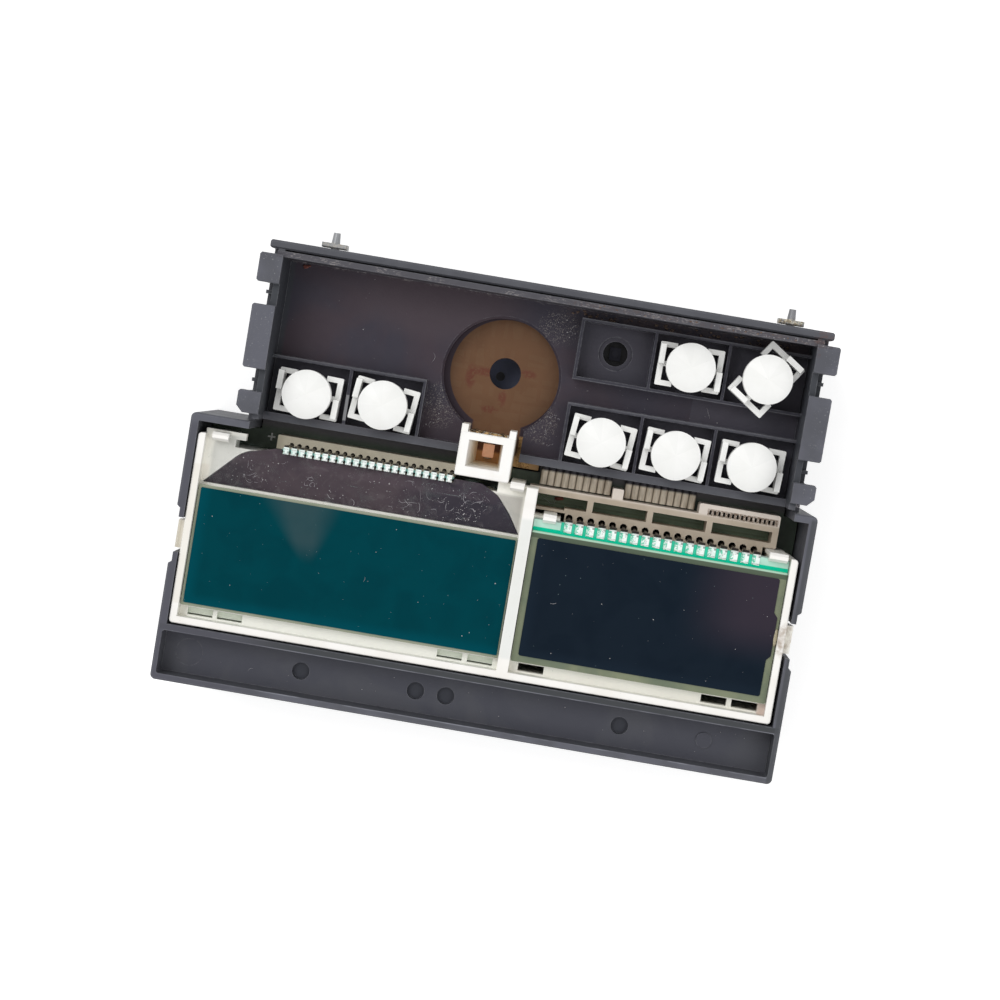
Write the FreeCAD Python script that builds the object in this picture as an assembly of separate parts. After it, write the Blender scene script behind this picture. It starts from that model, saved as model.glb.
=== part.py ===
import FreeCAD, Part
import math
import os

V = FreeCAD.Vector

# An oven display module, lying on its back. Millimetres.
# X runs across the module from its middle, Y up the module from its bottom edge, Z from the
# back face towards the viewer. Every finished piece is moved down by half the full height,
# so that the origin is the centre of the back face.

# Lower body of the housing
BODY_W = 142.8
BODY_TOP = 61.4
FRONT_Z = 32.0
BODY_WALL = 1.9
SHOULDER_WALL = 1.75
BODY_R = 1.2
EDGE = 0.4

# Trim channel along the bottom edge
TROUGH_WALL = 1.2
TROUGH_LIP = 1.5
TROUGH_TOP = 11.5
TROUGH_FLOOR_Z = 25.5
TROUGH_FLOOR_T = 2.0
BAY_WALL = 1.45
RAIL_HOLE_R = 2.0
RAIL_HOLE_Y = 6.5
RAIL_HOLE_DEPTH = 1.4
RAIL_HOLES_OUTER = (-38.3, 35.7)
RAIL_HOLES_INNER = (-11.6, -4.6)
SINK_MARK_IN = 7.1
SINK_MARK_R = 3.1
SINK_MARK_DEPTH = 0.15
GATE_MARK_IN = 16.2
GATE_MARK_R = 1.8
GATE_MARK_H = 0.35

# Side notches that take the carrier's snap lugs
NOTCH_Y_LEFT = 33.4
NOTCH_Y_RIGHT = 32.8
NOTCH_GAP = 8.0
NOTCH_STEP = 12.2
NOTCH_STEP_DEPTH = 0.8
NOTCH_CHAMFER = 0.6
NOTCH_WEB = 0.9
NOTCH_WEB_Z = 14.0

# Upper tray
TRAY_STEP_LEFT = 11.7
TRAY_STEP_RIGHT = 3.7
TRAY_SKIRT = 1.6
TRAY_INNER_WALL = 1.5
TRAY_Y0 = 62.0
TRAY_LOWER_WALL = 1.8
TRAY_FLOOR_Z = 17.0
TRAY_FLOOR_T = 2.0
TRAY_LEDGE_Z = 24.0
TRAY_WALL_Z = 30.0
TRAY_LIP_H = 5.0
TRAY_OVERLAP = 5.0
BAR_Y0 = 99.0
BAR_T = 1.3
BAR_Z = 31.0
GROOVE_W = 0.4
GROOVE_Z = 26.0
RAIL_T = 1.9
RAIL_Z = 30.0
RAIL_OVERHANG = 0.5
WALL_RIB_T = 0.8
WALL_RIB_YS = (70.3, 90.4)

# Front plates on the tray's sides: lower and upper edge of each
PLATE_OUT = 2.1
PLATE_T = 3.0
PLATE_CHAMFER = 1.5
PLATES_LEFT = ((63.1, 68.2), (73.3, 87.8), (92.8, 99.4))
PLATES_RIGHT = ((63.5, 68.2), (73.4, 87.9), (93.1, 99.5))

# Cells for the light guides
CELL_PITCH = 17.0
RIB_T = 0.7
RIB_H = 5.0
CELLS_END = 4.5
LEFT_COLUMNS = 2
RIGHT_COLUMNS = 3
LOWER_ROW_TOP_LEFT = 76.7
LOWER_ROW_TOP_RIGHT = 77.1
UPPER_ROW_Y0 = 83.2
UPPER_ROW_Y1 = 96.6
LOWER_ROW_Y = 69.6
UPPER_ROW_Y = 90.0
CELL_HOLE_R = 2.85
CELL_SEAT_R = 3.9
CELL_SEAT_DEPTH = 0.6
CELL_HOLE_SIDES = 24

# Round opening for the knob, and the slot beside it for the light box
DIAL_OFF = 0.1
DIAL_Y = 80.6
DIAL_R = 13.35
DIAL_CHAMFER = 0.5
SLOT_LEFT_GAP = 0.55
SLOT_RIGHT_GAP = 1.35
SLOT_TOP = 69.2

# Rear cover
COVER_T = 2.0
COVER_LIP_T = 1.4
COVER_LIP_H = 4.0
COVER_GAP = 0.25
POST_W = 4.4
POST_RIB = 1.2
POST_IN_UPPER = 7.0
POST_IN_LOWER = 4.0
VENT_W = 2.0
VENT_L = 13.0
VENT_PITCH = 5.5
VENT_COUNT = 7
VENT_X0 = -44.0
VENT_Y = 34.0
DIMPLE_OFF = -0.6
DIMPLE_Y = 80.4
DIMPLE_R = 1.1
DIMPLE_DEPTH = 1.0
DIMPLE_SIDES = 12

# Circuit boards
BOARD_T = 1.6
BOARD_TOP_Z = 12.0
BOARD_GAP = 0.3
BOARD_SEAM_Y = 62.0
BOARD_SEAM_GAP = 0.4
BOARD_TAB_LEFT = 3.1
BOARD_TAB_RIGHT = 1.7
BOARD_TAB_Y = 60.3
BOARD_R = 1.0
BOARD_NOTCH_EASE = 1.0
SHAFT_OFF = 0.7
SHAFT_Y = 81.3
SHAFT_R = 3.65

# White carrier of the two displays
CARRIER_GAP_LEFT = 2.2
CARRIER_GAP_RIGHT = 2.6
CARRIER_Y0 = 13.4
CARRIER_TOP_LEFT = 57.1
CARRIER_TOP_RIGHT = 51.1
CARRIER_Z = 31.5
CARRIER_BAR = 1.6
CARRIER_R = 0.8
DIVIDER_AT = 0.54132
DIVIDER_T = 2.6
SEAT_Z = 28.0
SEAT_T = 2.0
WINDOW_MARGIN = 1.4
DIFFUSER_T = 1.0
DIFFUSER_STEP = 1.0
DIFFUSER_GAP = 0.15
TIE_Z = 22.0
POCKET_Y0 = 15.4
POCKET_Y1 = 17.2
POCKET_DEPTH = 1.0
POCKET_SLIT = 0.3
# near and far end of each pocket, counted inwards from the side of its bay
POCKETS_LEFT_OUTER = ((1.8, 7.6), (8.6, 14.4))
POCKETS_LEFT_INNER = ((14.0, 8.2), (7.0, 1.2))
POCKETS_RIGHT_INNER = ((2.1, 8.0),)
POCKETS_RIGHT_OUTER = ((14.5, 8.6), (7.5, 1.5))
CORNER_LEFT_W = 6.6
CORNER_RIGHT_W = 6.0
LUG_W = 6.4
LUG_OUT = 1.75
LUG_Z0 = 18.0
LUG_Z1 = 29.0
LUG_RAMP = 3.0
LUG_EASE = 0.4
FLANGE_IN = 1.2
FLANGE_L = 9.2
FLANGE_Y1 = 58.2
LATCH_NOSE = 0.8
LATCH_STEM = 0.9
LATCH_TOP = 0.3
LATCH_SEAT_GAP = 0.1
LATCH_BEAK = 0.8
LATCH_SLOPE = 0.7
LATCH_BACK = 0.6
# near and far side of each latch, counted inwards from the side of its bay
LATCH_LEFT_OUTER = (1.6, 5.3)
LATCH_LEFT_INNER = (3.8, 0.6)
LATCH_RIGHT_INNER = (2.1, 5.1)
LATCH_RIGHT_OUTER = (5.0, 0.8)

# Displays
GLASS_T = 1.1
GLASS_GAP = 0.2
FILM_T = 0.2
GLASS_Y0 = 17.7
LEFT_REAR_TOP = 56.5
LEFT_FRONT_TOP = 45.4
LEFT_FILM_EDGE = 0.6
RIGHT_REAR_TOP = 50.6
RIGHT_FRONT_TOP = 47.7
RIGHT_FILM_EDGE = 1.5
RIGHT_FILM_BULGE = 0.9
BULGE_Y0 = 28.6
BULGE_Y1 = 37.4
SHIELD_T = 0.8
SHIELD_GAP = 0.15
SHIELD_Y0 = 45.9
SHIELD_TOP = 56.2
SHIELD_RISE_LEFT = 15.5
SHIELD_RISE_RIGHT = 10.0
SHIELD_PIN_GAP = 0.3

# Contact pins and the strips that they stand in
LEFT_PIN_PITCH = 1.784
LEFT_PINS_IN = 18.33
LEFT_PINS_END = 17.6
LEFT_PIN_W = 1.25
LEFT_HOLE_R = 0.55
RIGHT_PIN_PITCH = 2.53
RIGHT_PINS_IN = 8.0
RIGHT_PINS_END = 7.6
RIGHT_PIN_W = 1.7
RIGHT_HOLE_R = 0.85
PIN_T = 0.3
PIN_LEG_W = 0.5
PIN_REACH_LEFT = 1.3
PIN_REACH_RIGHT = 2.3
PIN_EDGE_GAP = 0.35
PIN_JAW_STEP = 0.4
PIN_CLEAR = 0.4
STRIP_TOP_Z = 20.0
HOLE_SIDES = 8
LEFT_STRIP_START = 3.43
LEFT_STRIP_END = 0.606
LEFT_STRIP_Y1 = 58.9
STRIP_BACK = 0.7
RIGHT_STRIP_START = 1.1
RIGHT_STRIP_IN = 2.8
RIGHT_STRIP_Y1 = 53.1
FRAME_START = 0.5
FRAME_Y1 = 57.2
FRAME_BAR = 1.5
FRAME_POST = 1.35
FRAME_POSTS = (0.2483, 0.4879, 0.7259)
FRAME_FOOT_Y = 52.0
FRAME_FOOT_T = 0.6
RIGHT_BAR_END = 1.89
FRAME_RAISED_L = 18.8
FRAME_RAISED_Y1 = 59.6
FRAME_TONGUE_GAP = 0.3
FRAME_TONGUE_W = 2.5
SLIT_COUNT = 15
SLIT_W = 0.55
SLIT_L = 1.0
SLIT_DEPTH = 3.0
SLITS_IN = 2.4
SLIT_PITCH = 1.05
SLIT_Y = 57.8

# Ribbed jumper ribbons between the boards
JUMPER_PITCH = 1.67
JUMPER_RIDGE_H = 0.72
JUMPER_BASE = 1.5
JUMPER_Y0 = 57.5
JUMPER_Y1 = 66.5
JUMPER_IN = 2.0
JUMPER_SPACE = 3.05
JUMPERS_END = 0.65
JUMPER_ARCH = 0.7
JUMPER_FOOT = 1.6

# White light box beside the knob opening, with its light
BOX_W = 12.4
BOX_OFF = 6.45
BOX_Y0 = 57.25
BOX_Y1 = 67.25
BOX_Z = 31.0
BOX_EAR_W = 1.5
BOX_EAR_Y1 = 68.9
BOX_EAR_Z0 = 20.0
BOX_RIM_X = 2.1
BOX_RIM_Y = 2.2
BOX_WELL = 5.4
BOX_PIT_GAP = 0.8
BOX_FOOT_W = 1.0
BOX_EAR_DROP = 0.3
BOX_FOOT_L = 0.6
LED_L = 3.0
LED_W = 2.6
LED_H = 1.4
LED_LENS_R = 0.9
LED_LENS_H = 0.25
LED_LENS_SIDES = 12
BOX_LED_OFF = 0.2
BOX_LED_Y = 63.0

# Light guides: a domed head on a drum, held in a sprung frame
HEAD_R = 5.6
HEAD_Z0 = 23.6
HEAD_Z1 = 26.2
HEAD_DOME = 1.2
DRUM_R = 3.2
DRUM_SIDES = 12
STEM_R = 2.1
STEM_SIDES = 6
STEM_END_Z = 13.9
GUIDE_HALF_L = 7.4
GUIDE_HALF_W = 5.0
GUIDE_BAR = 1.3
GUIDE_ARM = 1.2
GUIDE_ARM_L = 3.9
GUIDE_FRAME_Z0 = 19.0
GUIDE_FRAME_Z1 = 21.5
GUIDE_RAISED_Z = 24.0
# name, cell column, row, play along X and Y, turn in degrees; the turned one lies on the ribs
GUIDES = (
    ("light_guide_upper_middle", 1, "upper", 0.15, -0.30, 0.0, False),
    ("light_guide_upper_right", 2, "upper", 0.50, -0.10, 56.0, True),
    ("light_guide_left_outer", -2, "lower", -0.50, -0.35, -2.0, False),
    ("light_guide_left_inner", -1, "lower", 0.00, 0.10, -6.4, False),
    ("light_guide_lower_left", 0, "lower", 0.00, 0.00, -5.5, False),
    ("light_guide_lower_middle", 1, "lower", 0.20, -0.10, -3.5, False),
    ("light_guide_lower_right", 2, "lower", 0.60, 0.15, -2.0, False),
)

# Locating pegs on the top edge
PEG_IN_LEFT = 13.7
PEG_IN_RIGHT = 9.5
PEG_Z = 26.5
PEG_SHANK_R = 1.0
PEG_SHANK_GAP = 0.05
PEG_SHANK_DEPTH = 1.2
PEG_STANDOFF = 0.25
PEG_COLLAR_W = 5.8
PEG_COLLAR_L = 1.1
PEG_COLLAR_H = 4.0
PEG_R0 = 0.98
PEG_R1 = 0.78
PEG_L = 2.45

# Wiring socket on the back of the knob board
SOCKET_IN = 15.7
SOCKET_W = 30.0
SOCKET_Y0 = 84.0
SOCKET_D = 9.0
SOCKET_WALL = 1.0
SOCKET_END_Z = 0.6
SOCKET_BASE = 2.0
SOCKET_GAP = 0.5
SOCKET_PIN = 0.8
SOCKET_PIN_COUNT = 5
SOCKET_PIN_PITCH = 5.0
SOCKET_PIN_TIP_Z = 2.0
SOCKET_RIB = 0.8
SOCKET_RIB_REACH = 0.9
SOCKET_RIBS_AT = (0.30, 0.65)

# Sizes that follow from those above
BODY_X1 = BODY_W / 2
BODY_X0 = -BODY_X1
TRAY_X0 = BODY_X0 + TRAY_STEP_LEFT
TRAY_X1 = BODY_X1 - TRAY_STEP_RIGHT
LEFT_CELLS_X1 = TRAY_X0 + CELLS_END + LEFT_COLUMNS * CELL_PITCH
RIGHT_CELLS_X0 = TRAY_X1 - CELLS_END - RIGHT_COLUMNS * CELL_PITCH
DIAL_X = (LEFT_CELLS_X1 + RIGHT_CELLS_X0) / 2 + DIAL_OFF
SHAFT_X = DIAL_X + SHAFT_OFF
SOCKET_X0 = TRAY_X1 - SOCKET_IN - SOCKET_W
DIMPLE_X = DIAL_X + DIMPLE_OFF
PEG_LEFT_X = TRAY_X0 + PEG_IN_LEFT
PEG_RIGHT_X = TRAY_X1 - PEG_IN_RIGHT
CARRIER_X0 = BODY_X0 + CARRIER_GAP_LEFT
CARRIER_X1 = BODY_X1 - CARRIER_GAP_RIGHT
TRAY_IN_X0 = TRAY_X0 + TRAY_SKIRT + TRAY_INNER_WALL
TRAY_IN_X1 = TRAY_X1 - TRAY_SKIRT - TRAY_INNER_WALL
TRAY_IN_Y0 = TRAY_Y0 + TRAY_LOWER_WALL
FLOOR_UNDER_Z = TRAY_FLOOR_Z - TRAY_FLOOR_T
RAIL_Y0 = BAR_Y0 + BAR_T + GROOVE_W
RAIL_Y1 = RAIL_Y0 + RAIL_T
BAY_Y0 = TROUGH_TOP + BAY_WALL
BOARD_Z = BOARD_TOP_Z - BOARD_T
FULL_H = RAIL_Y1 + PEG_STANDOFF + PEG_COLLAR_L + PEG_L
LEFT_BAY_X0 = CARRIER_X0 + CARRIER_BAR
RIGHT_BAY_X1 = CARRIER_X1 - CARRIER_BAR
DIVIDER_X0 = BODY_X0 + BODY_W * DIVIDER_AT
DIVIDER_X1 = DIVIDER_X0 + DIVIDER_T
BAY_FLOOR_Y0 = CARRIER_Y0 + CARRIER_BAR
LEFT_PIN_Y = LEFT_REAR_TOP + PIN_EDGE_GAP + PIN_T / 2
RIGHT_PIN_Y = RIGHT_REAR_TOP + PIN_EDGE_GAP + PIN_T / 2
REAR_GLASS_Z = SEAT_Z + GLASS_T
FRONT_GLASS_Z = REAR_GLASS_Z + GLASS_T
LEFT_PIN_X0 = LEFT_BAY_X0 + LEFT_PINS_IN
LEFT_PIN_COUNT = 1 + int((DIVIDER_X0 - LEFT_PINS_END - LEFT_PIN_X0) / LEFT_PIN_PITCH)
LEFT_STRIP_X0 = LEFT_PIN_X0 - LEFT_STRIP_START
LEFT_STRIP_X1 = LEFT_PIN_X0 + LEFT_PIN_PITCH * (LEFT_PIN_COUNT - 1) + LEFT_STRIP_END
RIGHT_PIN_X0 = DIVIDER_X1 + RIGHT_PINS_IN
RIGHT_PIN_COUNT = 1 + int((RIGHT_BAY_X1 - RIGHT_PINS_END - RIGHT_PIN_X0) / RIGHT_PIN_PITCH)
RIGHT_STRIP_X0 = RIGHT_PIN_X0 - RIGHT_STRIP_START
RIGHT_STRIP_X1 = RIGHT_BAY_X1 - RIGHT_STRIP_IN
RIGHT_BAR_X1 = RIGHT_PIN_X0 + RIGHT_PIN_PITCH * (RIGHT_PIN_COUNT - 1) + RIGHT_BAR_END
FRAME_X0 = DIVIDER_X0 + FRAME_START
FRAME_RAISED_X0 = RIGHT_STRIP_X1 - FRAME_RAISED_L
SLIT_X0 = FRAME_RAISED_X0 + SLITS_IN
JUMPER_ROOM = FRAME_RAISED_X0 - FRAME_X0 - JUMPER_IN - JUMPER_SPACE - JUMPERS_END
JUMPER_WIRES = int(JUMPER_ROOM / 2 / JUMPER_PITCH)
JUMPER_W = JUMPER_WIRES * JUMPER_PITCH
JUMPER_X0S = (FRAME_X0 + JUMPER_IN, FRAME_X0 + JUMPER_IN + JUMPER_W + JUMPER_SPACE)
TONGUE_X0 = JUMPER_X0S[0] + JUMPER_W + FRAME_TONGUE_GAP
BOX_X0 = DIAL_X - BOX_OFF
BOX_X1 = BOX_X0 + BOX_W
BOX_LED_X = DIAL_X - BOX_LED_OFF
BOARD_TAB = (DIAL_X - BOARD_TAB_LEFT, DIVIDER_X0 + BOARD_TAB_RIGHT)


def outline(corners, z=0.0):
    """Closed wire through corners (x, y, radius), each corner rounded by its radius."""
    edges = []
    count = len(corners)
    starts, ends, arcs = [], [], []
    for i in range(count):
        px, py, _ = corners[i - 1]
        x, y, r = corners[i]
        nx, ny, _ = corners[(i + 1) % count]
        corner = V(x, y, z)
        back = (V(px, py, z) - corner).normalize()
        ahead = (V(nx, ny, z) - corner).normalize()
        if r <= 0:
            starts.append(corner)
            ends.append(corner)
            arcs.append(None)
            continue
        half = back.getAngle(ahead) / 2
        run = r / math.tan(half)
        middle = (back + ahead).normalize()
        starts.append(corner + back * run)
        ends.append(corner + ahead * run)
        arcs.append(corner + middle * (r / math.sin(half) - r))
    for i in range(count):
        if arcs[i] is not None:
            edges.append(Part.Arc(starts[i], arcs[i], ends[i]).toShape())
        following = starts[(i + 1) % count]
        if (following - ends[i]).Length > 1e-6:
            edges.append(Part.LineSegment(ends[i], following).toShape())
    return Part.Wire(edges)


def slab(corners, z0, z1):
    """Flat plate with a rounded outline, from z0 up to z1."""
    return Part.Face(outline(corners, z0)).extrude(V(0, 0, z1 - z0))


def rounded(x0, x1, y0, y1, z0, z1, r=0.0):
    """Rectangular plate with four equal corner radii."""
    return slab([(x0, y0, r), (x1, y0, r), (x1, y1, r), (x0, y1, r)], z0, z1)


def drum(x, y, z0, z1, r):
    """Upright cylinder."""
    return Part.makeCylinder(r, z1 - z0, V(x, y, z0))


def prism(x, y, z0, z1, r, sides):
    """Upright column with flat sides, standing on the circle of radius r."""
    turn = 2 * math.pi / sides
    ring = [V(x + r * math.cos(turn * (n + 0.5)), y + r * math.sin(turn * (n + 0.5)), z0)
            for n in range(sides)]
    return Part.Face(Part.makePolygon(ring + ring[:1])).extrude(V(0, 0, z1 - z0))


def side_profile(points, x0, x1):
    """Closed outline of (y, z) points, drawn out along X."""
    wire = Part.makePolygon([V(x0, y, z) for y, z in points + points[:1]])
    return Part.Face(wire).extrude(V(x1 - x0, 0, 0))


def end_profile(points, y0, y1):
    """Closed outline of (x, z) points, drawn out along Y."""
    wire = Part.makePolygon([V(x, y0, z) for x, z in points + points[:1]])
    return Part.Face(wire).extrude(V(0, y1 - y0, 0))


def joined(shapes):
    """One solid from touching or crossing solids."""
    body = shapes[0]
    if len(shapes) > 1:
        body = body.fuse(shapes[1:])
    return body.removeSplitter()


def without(body, tools):
    """The body less every tool."""
    return body.cut(Part.makeCompound(tools)).removeSplitter()


def eased_front(body, z, size):
    """Bevels the outer edges of the face that lies at z."""
    rim = [e for e in body.Edges if all(abs(v.Z - z) < 1e-6 for v in e.Vertexes)]
    return body.makeChamfer(size, rim)


def save(name, shape):
    """Moves a finished piece into the module's frame and writes it."""
    placed = shape.copy()
    placed.translate(V(0, -FULL_H / 2, 0))
    if not placed.isValid():
        print("not valid:", name)
    placed.exportStep("parts/" + name + ".step")
    print(f"{name}: {len(placed.Solids)} solid(s), {placed.Volume / 1000:.3f} cm3")


def body_corners(inset):
    """Outline of the lower body and the tray together, moved inwards by inset."""
    r = max(BODY_R - inset, 0.2)
    return [
        (BODY_X0 + inset, inset, r),
        (BODY_X1 - inset, inset, r),
        (BODY_X1 - inset, BODY_TOP - inset, r),
        (TRAY_X1 - inset, BODY_TOP - inset, 0),
        (TRAY_X1 - inset, RAIL_Y1 - inset, r),
        (TRAY_X0 + inset, RAIL_Y1 - inset, r),
        (TRAY_X0 + inset, BODY_TOP - inset, 0),
        (BODY_X0 + inset, BODY_TOP - inset, r),
    ]


def notch_cutters(z0, z1):
    """The stepped gaps in both side walls; a thin web is left low down to tie the wall together."""
    cutters = []
    for side, middle in ((-1, NOTCH_Y_LEFT), (1, NOTCH_Y_RIGHT)):
        face = side * BODY_X1
        inner = face - side * (BODY_WALL + 1.0)
        outer = face + side * 2.0
        step = face - side * NOTCH_STEP_DEPTH
        gap = NOTCH_GAP / 2
        reach = NOTCH_STEP / 2
        web = face - side * (BODY_WALL - NOTCH_WEB)
        if z1 > NOTCH_WEB_Z:
            cutters.append(rounded(min(inner, outer), max(inner, outer), middle - gap, middle + gap,
                                   NOTCH_WEB_Z, z1))
        cutters.append(rounded(min(web, outer), max(web, outer), middle - gap, middle + gap, z0, z1))
        cutters.append(slab([
            (outer, middle - reach - NOTCH_CHAMFER, 0),
            (face, middle - reach - NOTCH_CHAMFER, 0),
            (step, middle - reach, 0),
            (step, middle + reach, 0),
            (face, middle + reach + NOTCH_CHAMFER, 0),
            (outer, middle + reach + NOTCH_CHAMFER, 0),
        ], z0, z1))
    return cutters


def front_plate(side, y0, y1, clipped):
    """A flat plate on the tray's side, on the wall block that carries it."""
    wall = TRAY_IN_X0 if side < 0 else TRAY_IN_X1
    face = TRAY_X0 if side < 0 else TRAY_X1
    tip = face + side * PLATE_OUT
    cut = PLATE_CHAMFER if clipped else EDGE
    corners = [
        (wall, y0, 0),
        (tip - side * cut, y0, 0),
        (tip, y0 + cut, 0),
        (tip, y1 - EDGE, 0),
        (tip - side * EDGE, y1, 0),
        (wall, y1, 0),
    ]
    plate = slab(corners, FRONT_Z - PLATE_T, FRONT_Z)
    rim = [e for e in plate.Edges
           if all(abs(v.Z - FRONT_Z) < 1e-6 for v in e.Vertexes)
           and not all(abs(v.X - wall) < 1e-6 for v in e.Vertexes)]
    plate = plate.makeChamfer(EDGE / 2, rim)
    block = rounded(min(wall, face), max(wall, face), y0, y1, FLOOR_UNDER_Z, FRONT_Z - PLATE_T)
    return [plate, block]


def cell_x(column):
    """Middle of a cell: columns 0 to 2 on the right, -2 and -1 on the left."""
    if column < 0:
        return LEFT_CELLS_X1 + CELL_PITCH * (column + 0.5)
    return RIGHT_CELLS_X0 + CELL_PITCH * (column + 0.5)


def cell_y(row):
    """Middle of a cell's light guide in the upper or the lower row."""
    return UPPER_ROW_Y if row == "upper" else LOWER_ROW_Y


CELLS = ((0, "upper"), (1, "upper"), (2, "upper"), (-2, "lower"), (-1, "lower"),
         (0, "lower"), (1, "lower"), (2, "lower"))


def cell_ribs():
    """Low ribs that part the tray's floor into cells."""
    z0, z1 = TRAY_FLOOR_Z - 0.5, TRAY_FLOOR_Z + RIB_H
    half = RIB_T / 2
    ribs = []

    def across(x0, x1, y):
        ribs.append(rounded(x0, x1, y - half, y + half, z0, z1))

    def upright(x, y0, y1):
        ribs.append(rounded(x - half, x + half, y0, y1, z0, z1))

    across(TRAY_IN_X0 - 0.5, LEFT_CELLS_X1 + half, LOWER_ROW_TOP_LEFT)
    for step in range(LEFT_COLUMNS):
        upright(LEFT_CELLS_X1 - CELL_PITCH * step, TRAY_IN_Y0 - 0.5, LOWER_ROW_TOP_LEFT)
    across(RIGHT_CELLS_X0 - half, TRAY_IN_X1 + 0.5, LOWER_ROW_TOP_RIGHT)
    across(RIGHT_CELLS_X0 - half, TRAY_IN_X1 + 0.5, UPPER_ROW_Y0)
    across(RIGHT_CELLS_X0 - half, TRAY_IN_X1 + 0.5, UPPER_ROW_Y1)
    for step in range(RIGHT_COLUMNS):
        x = RIGHT_CELLS_X0 + CELL_PITCH * step
        upright(x, TRAY_IN_Y0 - 0.5, LOWER_ROW_TOP_RIGHT)
        upright(x, UPPER_ROW_Y0, UPPER_ROW_Y1)
    return ribs


def upper_posts():
    """Places where the knob board is held between the cover and the tray."""
    inset = POST_IN_UPPER
    return [(TRAY_X0 + inset, RAIL_Y1 - inset), (TRAY_X1 - inset, RAIL_Y1 - inset),
            (TRAY_X0 + inset, DIAL_Y), (TRAY_X1 - inset, DIAL_Y)]


def lower_posts():
    """Places where the cover carries the display board."""
    inset = POST_IN_LOWER
    return [(CARRIER_X0 + inset, CARRIER_Y0 + inset), (CARRIER_X1 - inset, CARRIER_Y0 + inset),
            (CARRIER_X0 + inset, CARRIER_TOP_RIGHT), (CARRIER_X1 - inset, CARRIER_TOP_RIGHT),
            ((DIVIDER_X0 + DIVIDER_X1) / 2, CARRIER_Y0 + inset)]


def post(x, y, z0, z1):
    """Cross-shaped moulded post."""
    long, thin = POST_W / 2, POST_RIB / 2
    return rounded(x - long, x + long, y - thin, y + thin, z0, z1).fuse(
        rounded(x - thin, x + thin, y - long, y + long, z0, z1))


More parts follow.
